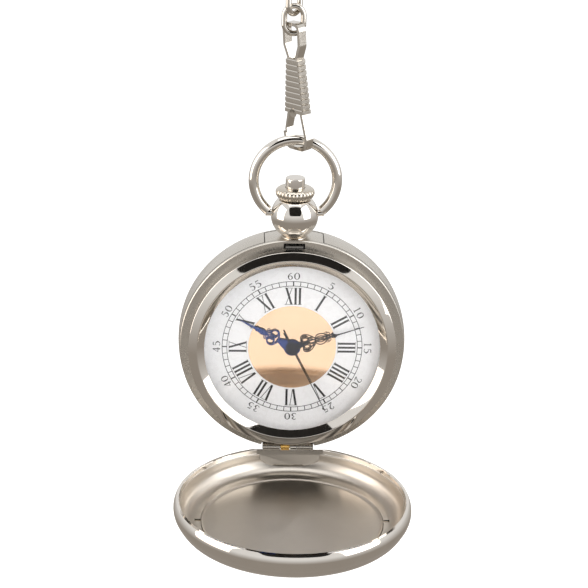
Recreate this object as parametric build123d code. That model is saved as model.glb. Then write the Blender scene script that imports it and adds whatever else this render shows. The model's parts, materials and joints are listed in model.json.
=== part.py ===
from build123d import *
from math import cos, radians, sin, sqrt
import os

# Hunter-cased pocket watch hanging from a sleeve clasp and three chain links.
# Millimetres, +Z up, -Y towards the dial's side.  Every part is drawn in the watch's own frame,
# whose origin is the middle of the case, and is written with the chain's free end at the origin.

# ---- driving dimensions: case ----
CASE_R = 25.0            # largest radius of the case's barrel
RIDGE_R = 24.6           # front edge of the case middle
SHOULDER_Y = -3.2        # flat shoulder that the cover closes on
BACK_RIM_Y = 3.9         # where the barrel turns into the back
BACK_Y = 6.6             # flat centre of the rear cover
BACK_FLAT_R = 17.0
WALL = 0.7
BEZEL_R = 22.7
BEZEL_CREST_R = 20.8
BEZEL_CREST_Y = -6.13
BEZEL_FRONT_Y = -5.4
CRYSTAL_R = 19.25
CRYSTAL_EDGE_Y = -4.85
CRYSTAL_DOME_Y = -6.6
CRYSTAL_T = 0.9
BORE_R = 20.95           # bore of the case middle
RECESS_R = 23.9          # case middle under the rear cover's rim

# ---- front cover and its hinge ----
HINGE_Y = -3.1
HINGE_Z = -24.2
KNUCKLE_R = 0.9
PIN_R = 0.4
PIN_RUN = 0.04           # radial clearance of a turning pin
COVER_OPEN = 91.0        # degrees from shut to the position the cover is drawn in
COVER_RIM_Y = -3.32
COVER_RIM_R = 24.8
COVER_BULGE_R = 25.3
COVER_LIP_R = 24.05      # inside of the rim
COVER_DEPTH = 7.6
CHORD_Z = -23.25         # straight edge of the cover at the hinge
CHORD_WALL = 0.4
PLATE_R = 19.4
CATCH_X = 2.3            # half width of the catch's window

# ---- dial and hands ----
DIAL_R = 20.7
DIAL_T = 0.4
DISC_R = 9.6
HAND_T = 0.09
HOUR_Y = -3.70           # back faces of the three hands
MINUTE_Y = -3.93
SECOND_Y = -4.16
HOUR_LENGTH = 13.1
MINUTE_LENGTH = 16.4
SECOND_LENGTH = 16.6
SECOND_TAIL = 4.2
HOUR_ANGLE = 299.5       # clockwise from twelve
MINUTE_ANGLE = 71.5
SECOND_ANGLE = 152.8

# ---- quartz movement, seen from the dial: motion work, main plate, train, bridge ----
PLATE_FRONT_Y = -1.85
PLATE_BACK_Y = -1.15
MOVEMENT_R = 13.0
BRIDGE_Y = 1.0
BRIDGE_T = 0.5
WHEEL_T = 0.2
ARBOR_R = 0.16
SECOND_ARBOR_R = 0.17
MINUTE_TUBE_R = 0.55
HOUR_TUBE_R = 0.92
CENTRE_WHEEL_Y = -0.95
THIRD_WHEEL_Y = -0.55
FOURTH_WHEEL_Y = -0.10
INTER_WHEEL_Y = 0.35
MINUTE_WHEEL_Y = -2.35
HOUR_WHEEL_Y = -2.7
THIRD_GAP = 3.06         # centre distances of the train
INTER_GAP = 3.05
ROTOR_GAP = 2.38
MOTION_GAP = 2.4
SETTING_GAP = 3.24
THIRD_AT = 180.0         # directions from the centre, counter-clockwise from +X seen from the back
INTER_AT = 290.0
ROTOR_AT = 235.0
MINUTE_WHEEL_AT = 90.0

# ---- pendant, crown, button and bow ----
BALL_R = 5.13
BALL_Z = 29.4
BALL_TOP_Z = 33.0
NECK_R = 1.65
FLARE_R = 2.9
TUBE_R = 1.68
TUBE_BORE_R = 1.22
CROWN_Z = 33.25
CROWN_TOP_Z = 35.7
CROWN_R = 4.25
CROWN_LOW_R = 3.45
CROWN_FLUTES = 40
BUTTON_R = 2.1
BUTTON_TOP_Z = 37.9
STEM_R = 0.72
ROD_R = 0.45
BOW_Z = 37.25
BOW_R = 8.95
BOW_WIRE_R = 1.1
PIVOT_Z = 29.9
BOW_END_X = 5.8          # where the wire stops beside the ball
BOW_PIN_R = 0.75

# ---- clasp and chain ----
CLASP_TURN = 40.0        # the clasp's plane, turned about the vertical
CLASP_LEAN = 3.8         # lean of the clasp, top towards -X
CLASP_X = 0.6            # where the hook holds the bow
HOOK_Z = 46.2            # centre of the bow's wire in the hook
STRIP_W = 1.9
STRIP_T = 0.7
SLEEVE_LOW = 6.0         # above the bow's wire centre
SLEEVE_HIGH = 17.9
SLEEVE_LOW_W = 5.9
SLEEVE_HIGH_W = 3.6
SLEEVE_D = 2.5
RIBS = 10
EYE_TOP = 25.5
EYE_W = 5.2
CHAIN_X = -1.07
LINK_WIRE_R = 0.6
RING_W = 5.2
RING_H = 7.0
RING_Z = 72.1
LINK_W = 5.0
LINK_H = 6.6
LINK_TURN = 50.0
LINK_GAP = 0.05          # slack between touching links
RING_GAP = 0.4           # slack between the ring and the link, which cross at less than a right angle

CHAIN_PITCH = LINK_H - 4 * LINK_WIRE_R - LINK_GAP
LINK_1_Z = RING_Z + RING_H / 2 + LINK_H / 2 - 4 * LINK_WIRE_R - RING_GAP
CHAIN_TOP_Z = LINK_1_Z + 2 * CHAIN_PITCH + LINK_H / 2

# gear trains: module and teeth of each pair
TRAIN = {
    "cannon": (0.12, 10), "minute_wheel": (0.12, 30), "minute_pinion": (0.12, 8), "hour_wheel": (0.12, 32),
    "centre_wheel": (THIRD_GAP / 27, 48), "third_pinion": (THIRD_GAP / 27, 6),
    "third_wheel": (THIRD_GAP / 25.5, 45), "fourth_pinion": (THIRD_GAP / 25.5, 6),
    "fourth_wheel": (INTER_GAP / 24, 40), "inter_pinion": (INTER_GAP / 24, 8),
    "inter_wheel": (ROTOR_GAP / 21, 36), "rotor_pinion": (ROTOR_GAP / 21, 6),
    "setting_wheel": (0.12, 24),
}


# ---- helpers ----
def save(name, *shapes):
    """Write one node, moved so that the chain's free end is the origin."""
    solids = [s for shape in shapes for s in shape.solids()]
    moved = Pos(-CHAIN_X, 0, -CHAIN_TOP_Z) * Compound(children=solids)
    export_step(moved, f"parts/{name}.step")


def outline(points):
    """Closed face in the XY plane.  A point is (x, y), and (x, y, bx, by) arrives by an arc through b."""
    edges = []
    last = points[-1][:2]
    for point in points:
        end = point[:2]
        if len(point) == 4:
            edges.append(ThreePointArc(last, point[2:], end))
        else:
            edges.append(Line(last, end))
        last = end
    return make_face(edges)


def dome(centre_y, edge_r, edge_y):
    """Point halfway out on the arc that is centred on the axis and joins the centre to the edge."""
    rise = edge_y - centre_y
    ball = (edge_r ** 2 + rise ** 2) / (2 * rise)
    return edge_r / 2, centre_y + ball - (1 if rise > 0 else -1) * sqrt(ball ** 2 - edge_r ** 2 / 4)


def turned(points):
    """Solid of revolution about Y from (radius, y) points."""
    return revolve(outline(points), Axis.Y, 360)


def turned_z(points, x=0, y=0):
    """Solid of revolution about a vertical axis from (radius, z) points."""
    return Pos(x, y, 0) * Rot(90, 0, 0) * revolve(outline(points), Axis.Y, 360)


def rod_y(radius, y0, y1, x=0, z=0):
    """Round bar along Y from y0 to y1."""
    return Pos(x, (y0 + y1) / 2, z) * Rot(90, 0, 0) * Cylinder(radius, y1 - y0)


def rod_z(radius, z0, z1, x=0, y=0):
    """Round bar along Z from z0 to z1."""
    return Pos(x, y, (z0 + z1) / 2) * Cylinder(radius, z1 - z0)


def rod_x(radius, x0, x1, y=0, z=0):
    """Round bar along X from x0 to x1."""
    return Pos((x0 + x1) / 2, y, z) * Rot(0, 90, 0) * Cylinder(radius, x1 - x0)


def ring_y(outer, inner, y0, y1, x=0, z=0):
    """Flat ring about Y."""
    return rod_y(outer, y0, y1, x, z) - rod_y(inner, y0 - 1, y1 + 1, x, z)


def block(x0, x1, y0, y1, z0, z1):
    """Box between two corners."""
    return Pos((x0 + x1) / 2, (y0 + y1) / 2, (z0 + z1) / 2) * Box(x1 - x0, y1 - y0, z1 - z0)


def polar(distance, angle):
    """Place in the XZ plane at an angle counter-clockwise from +X."""
    return distance * cos(radians(angle)), distance * sin(radians(angle))


def facing(face, y0, y1):
    """Extrude a face drawn in (x, z) from y0 to y1."""
    return Pos(0, y1, 0) * Rot(90, 0, 0) * extrude(face, y1 - y0)


def gear(kind, y0, x=0, z=0, tooth_at=0.0, thick=WHEEL_T):
    """Toothed wheel about Y with one tooth centred on the direction tooth_at."""
    module, teeth = TRAIN[kind]
    pitch_r = module * teeth / 2
    root_r = pitch_r - 1.05 * module
    tip_r = pitch_r + 0.7 * module
    points = []
    step = 360 / teeth
    for i in range(teeth):
        middle = tooth_at + i * step
        for radius, share in ((root_r, -0.26), (tip_r, -0.1), (tip_r, 0.1), (root_r, 0.26)):
            points.append(polar(radius, middle + share * step))
    face = make_face(Polyline(*points, close=True))
    return Pos(x, 0, z) * facing(face, y0, y0 + thick)


def meshed(kind, tooth_at, mate, direction):
    """Direction of a tooth of mate, so that it meshes with kind, which has a tooth at tooth_at."""
    step = 360 / TRAIN[kind][1]
    mate_step = 360 / TRAIN[mate][1]
    phase = ((direction - tooth_at) / step) % 1.0
    return direction + 180 - (0.5 - phase) * mate_step


# ---- case ----
def mid_case():
    """Case middle: barrel, shoulder, bezel neck, stem hole, catch pocket and hinge seat."""
    body = turned([
        (BORE_R, 2.6), (BORE_R, -4.6), (22.2, -4.6), (22.2, SHOULDER_Y), (RIDGE_R - 0.15, SHOULDER_Y),
        (RIDGE_R, SHOULDER_Y + 0.15), (RIDGE_R + 0.06, -2.42), (RECESS_R, -2.42), (RECESS_R, 2.6),
    ])
    body -= rod_z(TUBE_BORE_R, 20, 23.4)
    body -= rod_z(TUBE_R - 0.03, 23.3, 26)
    body -= block(-2.6, 2.6, -2.95, 1.35, 20, 23.3)
    body -= block(-CATCH_X, CATCH_X, SHOULDER_Y - 1, -1.3, 22.72, 23.95)
    groove = ring_y(22.95, 21.45, -2.95, -1.3)
    wedge = outline([(0, 0), polar(40, 44), polar(40, 92)])
    body -= groove & facing(wedge, -3, -1)
    body -= rod_y(0.38, -3.0, 0.2, *LATCH_PIVOT)
    body -= block(-6.4, 5.5, -4.6, -1.9, -26, HINGE_Z + 1.15)
    return body - block(HINGE_ARMS[0][0], HINGE_ARMS[1][1], -1.95, -1.3, -26, HINGE_Z + 1.2)


HINGE_ARMS = ((-6.1, -2.2), (1.5, 5.2))
LATCH_PIVOT = polar(22.2, 48)


def hinge_knuckles():
    """Two knuckles on a base let into the case middle below the dial."""
    hinge = block(HINGE_ARMS[0][0], HINGE_ARMS[1][1], -1.9, -1.35, HINGE_Z - 0.1, HINGE_Z + 1.15)
    for x0, x1 in HINGE_ARMS:
        hinge += rod_x(KNUCKLE_R, x0, x1, HINGE_Y, HINGE_Z)
        hinge += block(x0, x1, HINGE_Y, -1.8, HINGE_Z - 0.1, HINGE_Z + 0.85)
    return hinge - rod_x(PIN_R, -9, 9, HINGE_Y, HINGE_Z)


def bezel():
    """Snap-on bezel with a sloping front, a crest and an inner slope down to the crystal."""
    return turned([
        (22.25, -3.3), (22.25, -4.65), (20.35, -4.65), (20.35, -4.9), (CRYSTAL_R, -4.9),
        (CRYSTAL_R, CRYSTAL_EDGE_Y - 0.1), (BEZEL_CREST_R - 0.12, BEZEL_CREST_Y + 0.03),
        (BEZEL_CREST_R + 0.12, BEZEL_CREST_Y + 0.03, BEZEL_CREST_R, BEZEL_CREST_Y),
        (BEZEL_R - 0.15, BEZEL_FRONT_Y - 0.06),
        (BEZEL_R, BEZEL_FRONT_Y + 0.12, BEZEL_R - 0.03, BEZEL_FRONT_Y), (BEZEL_R, -3.3),
    ])


def crystal():
    """Domed mineral glass with a flat rim held behind the bezel's lip."""
    inside = CRYSTAL_DOME_Y + CRYSTAL_T
    return turned([
        (0, inside), (CRYSTAL_R, -4.0, *dome(inside, CRYSTAL_R, -4.0)), (20.0, -4.0), (20.0, -4.9),
        (CRYSTAL_R, -4.9), (0, CRYSTAL_DOME_Y, *dome(CRYSTAL_DOME_Y, CRYSTAL_R, -4.9)),
    ])


def crystal_gasket():
    """Nylon ring between crystal and bezel."""
    return ring_y(20.35, 20.0, -4.85, -4.0)


def rear_cover():
    """Snap-on back with a barrel rim, cut out round the pendant."""
    shell = turned([
        (24.72, -2.3), (CASE_R - 0.05, BACK_RIM_Y, CASE_R + 0.02, 0.8),
        (22.4, 5.7, 24.35, 5.05), (BACK_FLAT_R, BACK_Y, 19.8, 6.4), (0, BACK_Y), (0, BACK_Y - WALL),
        (BACK_FLAT_R, BACK_Y - WALL), (22.0, 4.95, 19.6, 5.68), (24.1, 3.5, 23.5, 4.4), (24.1, -2.3),
    ])
    shell -= block(HINGE_ARMS[0][0] - 0.15, HINGE_ARMS[1][1] + 0.15, -3, -1.2, -30, -20)
    return shell - block(-6.5, 6.5, -3, 3.3, 20, 30)


def back_gasket():
    """Rubber ring in the corner behind the case middle."""
    return turned([(23.2, 2.7), (23.9, 2.7), (23.9, 3.4), (23.2, 3.4)])


# ---- front cover ----
def opened(shape):
    """Turn a part drawn with the cover shut to the open position."""
    return Pos(0, HINGE_Y, HINGE_Z) * Rot(COVER_OPEN, 0, 0) * Pos(0, -HINGE_Y, -HINGE_Z) * shape


def cover_shell():
    """Domed hunter cover with a round rim, cut straight at the hinge."""
    y = COVER_RIM_Y
    floor = y - COVER_DEPTH
    seat = PLATE_R + 0.1
    shell = turned([
        (COVER_LIP_R, y), (COVER_RIM_R, y), (24.6, y - 4.1, COVER_BULGE_R, y - 1.6),
        (20.8, y - 6.9, 23.2, y - 5.9), (0, floor, *dome(floor, 20.8, y - 6.9)), (0, floor + WALL),
        (seat, y - 6.3, *dome(floor + WALL, seat, y - 6.3)), (seat, y - 5.45), (seat + 0.4, y - 5.45),
        (23.8, y - 1.6, 22.9, y - 4.2), (23.8, y - 1.1), (COVER_LIP_R, y - 1.0),
    ])
    shell -= block(-14, 14, y - 12, y + 1, -30, CHORD_Z)
    wall = turned([(0, y), (24.6, y), (24.6, y - 4.0), (23.0, y - 5.9), (0, y - 5.9)])
    wall &= block(-11, 11, y - 5.9, y, CHORD_Z, CHORD_Z + CHORD_WALL)
    shell += wall
    shell -= block(-CATCH_X - 0.3, CATCH_X + 0.3, y - 0.95, y - 0.35, 23, 24.3)
    for side in (-1, 1):
        shell -= block(side * 20.1 - 0.7, side * 20.1 + 0.7, y - 6.1, y - 4.9, -0.5, 0.5)
    return shell


def cover_plate():
    """Dished plate pressed into the floor of the cover."""
    y = COVER_RIM_Y
    edge = PLATE_R - 0.5
    return turned([
        (0, y - 6.25), (edge, y - 5.6, *dome(y - 6.25, edge, y - 5.6)), (PLATE_R, y - 5.35),
        (PLATE_R, y - 6.2),
        (0, y - 6.85, *dome(y - 6.85, PLATE_R, y - 6.2)),
    ])


def cover_knuckle():
    """Middle knuckle of the hinge on a tongue from the cover's straight edge."""
    x0, x1 = HINGE_ARMS[0][1] + 2.3, HINGE_ARMS[1][0] - 0.08
    piece = rod_x(KNUCKLE_R, x0, x1, HINGE_Y, HINGE_Z)
    piece += block(x0, x1, COVER_RIM_Y - 1.2, COVER_RIM_Y - 0.1, HINGE_Z, CHORD_Z)
    return piece - rod_x(PIN_R + PIN_RUN, -9, 9, HINGE_Y, HINGE_Z)


def hinge_pin():
    """Plain pin through the knuckles."""
    return rod_x(PIN_R, HINGE_ARMS[0][0] - 0.05, HINGE_ARMS[1][1] + 0.05, HINGE_Y, HINGE_Z)


def hinge_spring():
    """Brass coil round the pin that throws the cover open, five closed turns."""
    x0 = HINGE_ARMS[0][1] + 0.12
    spring = None
    for i in range(5):
        turn = Pos(x0 + 0.2 + 0.4 * i, HINGE_Y, HINGE_Z) * Rot(0, 90, 0) * Torus(0.68, 0.2)
        spring = turn if spring is None else spring + turn
    return spring


# ---- dial and hands ----
def dial_plate():
    """White dial with a centre hole and two feet."""
    dial = ring_y(DIAL_R, 1.1, SHOULDER_Y, SHOULDER_Y + DIAL_T)
    for angle in (20, 200):
        x, z = polar(17.5, angle)
        dial += rod_y(0.4, SHOULDER_Y + 0.1, -1.4, x, z)
    return dial


def dial_disc():
    """Polished centre disc laid on the dial."""
    return ring_y(DISC_R, 1.15, SHOULDER_Y - 0.08, SHOULDER_Y)


def flat_hand(points, y, angle, boss_r, bore_r, holes=()):
    """Thin hand drawn pointing up with its boss at the centre."""
    blade = make_face(Polyline(*points, close=True))
    hand = facing(blade, y - HAND_T, y) + rod_y(boss_r, y - HAND_T, y)
    for radius, x, z in holes:
        hand -= rod_y(radius, y - 1, y + 1, x, z)
    hand -= rod_y(bore_r, y - 1, y + 1)
    return Rot(0, angle, 0) * hand


def serpentine(length, width):
    """Half outline of a scrolled hand as (share of the length, share of the width)."""
    shares = ((0.0, 0.35), (0.2, 0.22), (0.3, 0.8), (0.38, 1.0), (0.46, 0.85), (0.55, 0.5), (0.62, 0.6),
              (0.68, 0.35), (0.75, 0.2))
    right = [(width * w, length * s) for s, w in shares]
    return right + [(0, length)] + [(-x, z) for x, z in reversed(right)]


def hour_hand():
    """Scrolled hour hand with two piercings."""
    holes = ((0.55, 0.6, 0.38 * HOUR_LENGTH), (0.55, -0.6, 0.38 * HOUR_LENGTH), (0.3, 0, 0.52 * HOUR_LENGTH))
    return flat_hand(serpentine(HOUR_LENGTH, 1.5), HOUR_Y, HOUR_ANGLE, 1.45, HOUR_TUBE_R, holes)


def minute_hand():
    """Scrolled minute hand with two piercings."""
    holes = ((0.5, 0.55, 0.38 * MINUTE_LENGTH), (0.5, -0.55, 0.38 * MINUTE_LENGTH),
             (0.28, 0, 0.5 * MINUTE_LENGTH))
    return flat_hand(serpentine(MINUTE_LENGTH, 1.35), MINUTE_Y, MINUTE_ANGLE, 1.2, MINUTE_TUBE_R, holes)


def second_hand():
    """Thin seconds hand with a short tail and a capped boss."""
    points = [(0.16, -SECOND_TAIL), (0.14, 0), (0.07, SECOND_LENGTH), (-0.07, SECOND_LENGTH), (-0.14, 0),
              (-0.16, -SECOND_TAIL)]
    hand = flat_hand(points, SECOND_Y, SECOND_ANGLE, 0.75, SECOND_ARBOR_R)
    return hand + rod_y(0.6, SECOND_Y - HAND_T - 0.15, SECOND_Y - HAND_T)


# ---- movement ----
CENTRE = (0.0, 0.0)
THIRD = polar(THIRD_GAP, THIRD_AT)
INTER = polar(INTER_GAP, INTER_AT)
ROTOR = tuple(a + b for a, b in zip(INTER, polar(ROTOR_GAP, ROTOR_AT)))
MINUTE_ARBOR = polar(MOTION_GAP, MINUTE_WHEEL_AT)
SETTING_ARBOR = (0.0, MOTION_GAP + SETTING_GAP)
COIL_X0, COIL_X1, COIL_Z = -5.2, 0.8, -10.1
BATTERY = (7.1, -6.3)
SCREWS = (polar(11.6, 160), polar(11.6, 288), polar(11.6, 20))


def pivot_holes(plate, places, radius):
    """Bore running holes for arbors."""
    for x, z in places:
        plate -= rod_y(radius, -9, 9, x, z)
    return plate


def movement_ring():
    """Plastic ring that centres the movement in the case."""
    ring = ring_y(BORE_R - 0.05, MOVEMENT_R + 0.05, -2.78, 1.6)
    ring -= block(-2.8, 2.8, -3, 1.7, 17.5, 22)
    ring -= rod_z(1.3, 12, 22)
    for angle in (20, 200):
        x, z = polar(17.5, angle)
        ring -= rod_y(0.42, -3, -1.3, x, z)
    return ring


def main_plate():
    """Movement plate between the motion work and the train."""
    plate = rod_y(MOVEMENT_R, PLATE_FRONT_Y, PLATE_BACK_Y)
    plate -= rod_y(MINUTE_TUBE_R + 0.04, -9, 9)
    plate = pivot_holes(plate, (THIRD, INTER, ROTOR, SETTING_ARBOR, MINUTE_ARBOR), ARBOR_R + 0.03)
    plate += block(-1.9, 1.9, PLATE_BACK_Y - 0.1, 0.9, 9.2, 10.4)
    plate += block(-1.9, 1.9, PLATE_BACK_Y - 0.1, 0.9, 4.9, 5.7)
    for x, z in SCREWS:
        plate += rod_y(1.0, PLATE_BACK_Y - 0.1, BRIDGE_Y, x, z)
        plate -= rod_y(0.35, -0.6, 2, x, z)
    return plate - rod_z(STEM_R + 0.04, 4, 12)


def train_bridge():
    """Bridge that carries the rear pivots of the train."""
    face = outline([(-12.0, 3.9), (-12.4, -2.0), (-8.0, -9.6, -11.0, -6.2), (4.4, -11.9, -2.0, -12.4),
                    (2.6, -9.0), (2.4, -3.9), (8.0, -1.2), (12.2, 2.6), (11.4, 5.2), (4.8, 4.1)])
    bridge = facing(face, BRIDGE_Y, BRIDGE_Y + BRIDGE_T)
    bridge = pivot_holes(bridge, (CENTRE, THIRD, INTER, ROTOR), ARBOR_R + 0.04)
    return pivot_holes(bridge, SCREWS, 0.45)


def movement_screws():
    """Three screws through the bridge into the pillars."""
    group = []
    for x, z in SCREWS:
        screw = rod_y(0.34, -0.5, BRIDGE_Y + BRIDGE_T + 0.02, x, z)
        screw += rod_y(0.8, BRIDGE_Y + BRIDGE_T, BRIDGE_Y + BRIDGE_T + 0.4, x, z)
        screw -= block(x - 1, x + 1, BRIDGE_Y + BRIDGE_T + 0.22, 4, z - 0.12, z + 0.12)
        group.append(screw)
    return group


def battery():
    """Button cell lying in the plate, rounded at its cap."""
    x, z = BATTERY
    return rod_y(3.4, PLATE_BACK_Y, 0.7, x, z) + rod_y(3.05, 0.7, 0.95, x, z)


def battery_clamp():
    """Sprung strip that holds the cell, screwed beside it."""
    x, z = BATTERY
    strip = block(x - 3.6, x + 3.9, 1.0, 1.2, z - 0.9, z + 0.9)
    strip += block(x + 3.6, x + 3.9, PLATE_BACK_Y, 1.1, z - 0.9, z + 0.9) & rod_y(MOVEMENT_R - 0.1, -9, 9)
    return strip & rod_y(MOVEMENT_R - 0.05, -9, 9)


def circuit_board():
    """Printed board with the integrated circuit on it."""
    board = block(-11.2, -5.2, PLATE_BACK_Y, PLATE_BACK_Y + 0.35, -3.6, 2.8)
    chip = block(-9.6, -6.8, PLATE_BACK_Y + 0.35, PLATE_BACK_Y + 1.05, -3.3, -1.2)
    return board + chip


def quartz_can():
    """Crystal oscillator in its metal can."""
    return rod_z(0.6, -0.9, 2.7, -6.65, PLATE_BACK_Y + 0.35 + 0.62)


def coil():
    """Step motor coil on its core."""
    core = block(COIL_X0 - 0.15, COIL_X1 + 0.15, -0.3, 0.3, COIL_Z - 0.3, COIL_Z + 0.3)
    winding = rod_x(1.0, COIL_X0, COIL_X1, -0.1, COIL_Z)
    return core, winding


def stator():
    """Iron stator plate round the rotor."""
    x, z = ROTOR
    top = COIL_Z + 1.15
    plate = block(x - 1.5, x + 1.5, -0.25, 0.15, top, z + 1.25)
    plate += block(COIL_X0 - 1.2, COIL_X1 + 1.2, -0.25, 0.15, top, top + 1.3)
    for x0 in (COIL_X0 - 1.2, COIL_X1 + 0.2):
        plate += block(x0, x0 + 1.0, -0.25, 0.15, COIL_Z - 0.3, top)
    return plate - rod_y(1.0, -3, 3, x, z)


def staff(front, back, place, radius=ARBOR_R):
    """Arbor from front to back at a place in the XZ plane."""
    return rod_y(radius, front, back, *place)


def train():
    """Wheels and pinions of the train and motion work, in mesh, by node name."""
    centre_tooth = 10.0
    third_pinion_tooth = meshed("centre_wheel", centre_tooth, "third_pinion", THIRD_AT)
    fourth_pinion_tooth = 15.0
    third_wheel_tooth = meshed("fourth_pinion", fourth_pinion_tooth, "third_wheel", THIRD_AT)
    inter_pinion_tooth = meshed("fourth_wheel", 5.0, "inter_pinion", INTER_AT)
    rotor_tooth = meshed("inter_wheel", 3.0, "rotor_pinion", ROTOR_AT)
    minute_wheel_tooth = meshed("cannon", 0.0, "minute_wheel", MINUTE_WHEEL_AT)
    hour_tooth = meshed("minute_pinion", 0.0, "hour_wheel", MINUTE_WHEEL_AT + 180)
    setting_tooth = meshed("minute_wheel", minute_wheel_tooth, "setting_wheel", 90)

    centre = gear("centre_wheel", CENTRE_WHEEL_Y, tooth_at=centre_tooth)
    centre += rod_y(MINUTE_TUBE_R, MINUTE_Y, CENTRE_WHEEL_Y + WHEEL_T)
    centre += gear("cannon", MINUTE_WHEEL_Y, thick=0.35)
    centre -= rod_y(SECOND_ARBOR_R + 0.05, -9, 9)
    hour = gear("hour_wheel", HOUR_WHEEL_Y, tooth_at=hour_tooth)
    hour += rod_y(HOUR_TUBE_R, HOUR_Y, HOUR_WHEEL_Y + WHEEL_T)
    hour -= rod_y(MINUTE_TUBE_R + 0.05, -9, 9)
    minute = gear("minute_wheel", MINUTE_WHEEL_Y + 0.1, *MINUTE_ARBOR, tooth_at=minute_wheel_tooth)
    minute += gear("minute_pinion", HOUR_WHEEL_Y, *MINUTE_ARBOR, thick=0.5)
    minute += staff(HOUR_WHEEL_Y, PLATE_BACK_Y - 0.1, MINUTE_ARBOR)
    third = gear("third_wheel", THIRD_WHEEL_Y, *THIRD, tooth_at=third_wheel_tooth)
    third += gear("third_pinion", CENTRE_WHEEL_Y - 0.05, *THIRD, tooth_at=third_pinion_tooth, thick=0.3)
    third += staff(PLATE_FRONT_Y + 0.1, BRIDGE_Y + 0.4, THIRD)
    fourth = gear("fourth_wheel", FOURTH_WHEEL_Y, tooth_at=5.0)
    fourth += gear("fourth_pinion", THIRD_WHEEL_Y - 0.05, tooth_at=fourth_pinion_tooth, thick=0.3)
    fourth += staff(SECOND_Y - HAND_T, BRIDGE_Y + 0.3, CENTRE, SECOND_ARBOR_R)
    fourth -= rod_y(0.5, BRIDGE_Y - 0.01, 3) - rod_y(ARBOR_R - 0.01, 0, 4)
    inter = gear("inter_wheel", INTER_WHEEL_Y, *INTER, tooth_at=3.0)
    inter += gear("inter_pinion", FOURTH_WHEEL_Y - 0.05, *INTER, tooth_at=inter_pinion_tooth, thick=0.3)
    inter += staff(PLATE_FRONT_Y + 0.1, BRIDGE_Y + 0.4, INTER)
    rotor = gear("rotor_pinion", INTER_WHEEL_Y - 0.05, *ROTOR, tooth_at=rotor_tooth, thick=0.3)
    rotor += staff(PLATE_FRONT_Y + 0.1, BRIDGE_Y + 0.4, ROTOR, 0.13)
    rotor += rod_y(0.75, -0.45, 0.2, *ROTOR)
    setting = gear("setting_wheel", MINUTE_WHEEL_Y + 0.1, *SETTING_ARBOR, tooth_at=setting_tooth)
    setting += staff(MINUTE_WHEEL_Y + 0.1, PLATE_BACK_Y - 0.1, SETTING_ARBOR)
    return {"centre_wheel": centre, "hour_wheel": hour, "minute_wheel": minute, "third_wheel": third,
            "fourth_wheel": fourth, "intermediate_wheel": inter, "motor_rotor": rotor,
            "setting_wheel": setting}


def setting_lever():
    """Lever that the stem's groove moves."""
    x, z = 3.4, 8.9
    lever = rod_y(0.75, -1.1, -0.9, x, z) + block(1.9, 3.4, -1.1, -0.9, 7.6, 8.9)
    return lever - rod_y(0.3, -3, 3, x, z)


def yoke():
    """Spring yoke beside the sliding pinion."""
    x, z = -3.4, 7.4
    arm = rod_y(0.7, -1.1, -0.9, x, z) + block(-3.6, -1.4, -1.1, -0.9, 7.4, 7.9)
    return arm - rod_y(0.3, -3, 3, x, z)


# ---- catch ----
def latch_spring():
    """Curved strip from a screw to the catch: a fork round the stem and a nose in the window."""
    strip = ring_y(22.45, 21.95, -2.6, -1.6)
    strip &= facing(outline([(0, 0), polar(40, 48), polar(40, 88)]), -3, -1)
    strip += rod_y(0.62, -2.6, -1.6, *LATCH_PIVOT)
    strip += block(-1.9, 1.9, -2.6, 0.95, 22.35, 22.9)
    strip += block(-1.9, 1.9, -2.6, -1.75, 22.35, 23.2)
    strip += block(-1.9, 1.9, -3.95, -1.75, 23.15, 23.55)
    strip -= block(-0.95, 0.95, -1.0, 2, 20, 24)
    return strip - rod_y(0.38, -4, 0, *LATCH_PIVOT)


def latch_screw():
    """Screw that the catch spring turns on."""
    x, z = LATCH_PIVOT
    screw = rod_y(0.35, -2.75, 0.1, x, z) + rod_y(0.6, -2.9, -2.68, x, z)
    return screw - block(x - 1, x + 1, -3, -2.82, z - 0.09, z + 0.09)


# ---- pendant, crown and bow ----
def pendant():
    """Ball on a flared neck, bored for the tube and for the bow's pins."""
    ball = Pos(0, 0, BALL_Z) * Sphere(BALL_R)
    ball &= block(-9, 9, -9, 9, 20, BALL_TOP_Z)
    neck = turned_z([(0, 23.35), (NECK_R - 0.02, 23.35), (NECK_R, 23.95), (FLARE_R, 23.95),
                     (FLARE_R - 0.1, 24.75), (NECK_R, 25.4, 2.05, 24.95), (NECK_R, 27), (0, 27)])
    core = rod_y(RECESS_R, -2.42, 9) + rod_y(RIDGE_R + 0.06, -9, -2.41)
    spigot = rod_z(NECK_R - 0.02, 23.35, 25)
    body = ball + (neck - core) + spigot
    body -= rod_z(TUBE_BORE_R, 20, 30)
    body -= rod_z(TUBE_R, 26, 40)
    for side in (-1, 1):
        body -= rod_x(BOW_PIN_R + PIN_RUN, *sorted((side * 3.2, side * 9)), 0, PIVOT_Z)
    return body


def pendant_tube():
    """Sleeve pressed into the ball that the crown slides over."""
    return rod_z(TUBE_R, 26, 33.9) - rod_z(TUBE_BORE_R, 20, 40)


def crown():
    """Fluted crown, hollow below for the tube and above for the button."""
    body = turned_z([(0, CROWN_Z), (CROWN_LOW_R, CROWN_Z), (CROWN_R - 0.05, 34.9, 3.7, 34.35),
                     (CROWN_R - 0.3, 35.5, CROWN_R, 35.25), (3.0, CROWN_TOP_Z, 3.5, 35.66),
                     (0, CROWN_TOP_Z)])
    for i in range(CROWN_FLUTES):
        x, y = polar(CROWN_R + 0.05, i * 360 / CROWN_FLUTES)
        tool = Pos(x, y, CROWN_Z - 0.3) * Rot(0, 0, i * 360 / CROWN_FLUTES) * Rot(0, 9, 0)
        body -= tool * Pos(0, 0, 1) * Cylinder(0.17, 4)
    body -= rod_z(TUBE_R + 0.06, 30, 34.05)
    body -= rod_z(BUTTON_R + 0.05, 34.3, 40)
    return body - rod_z(STEM_R, 30, 40)


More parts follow.
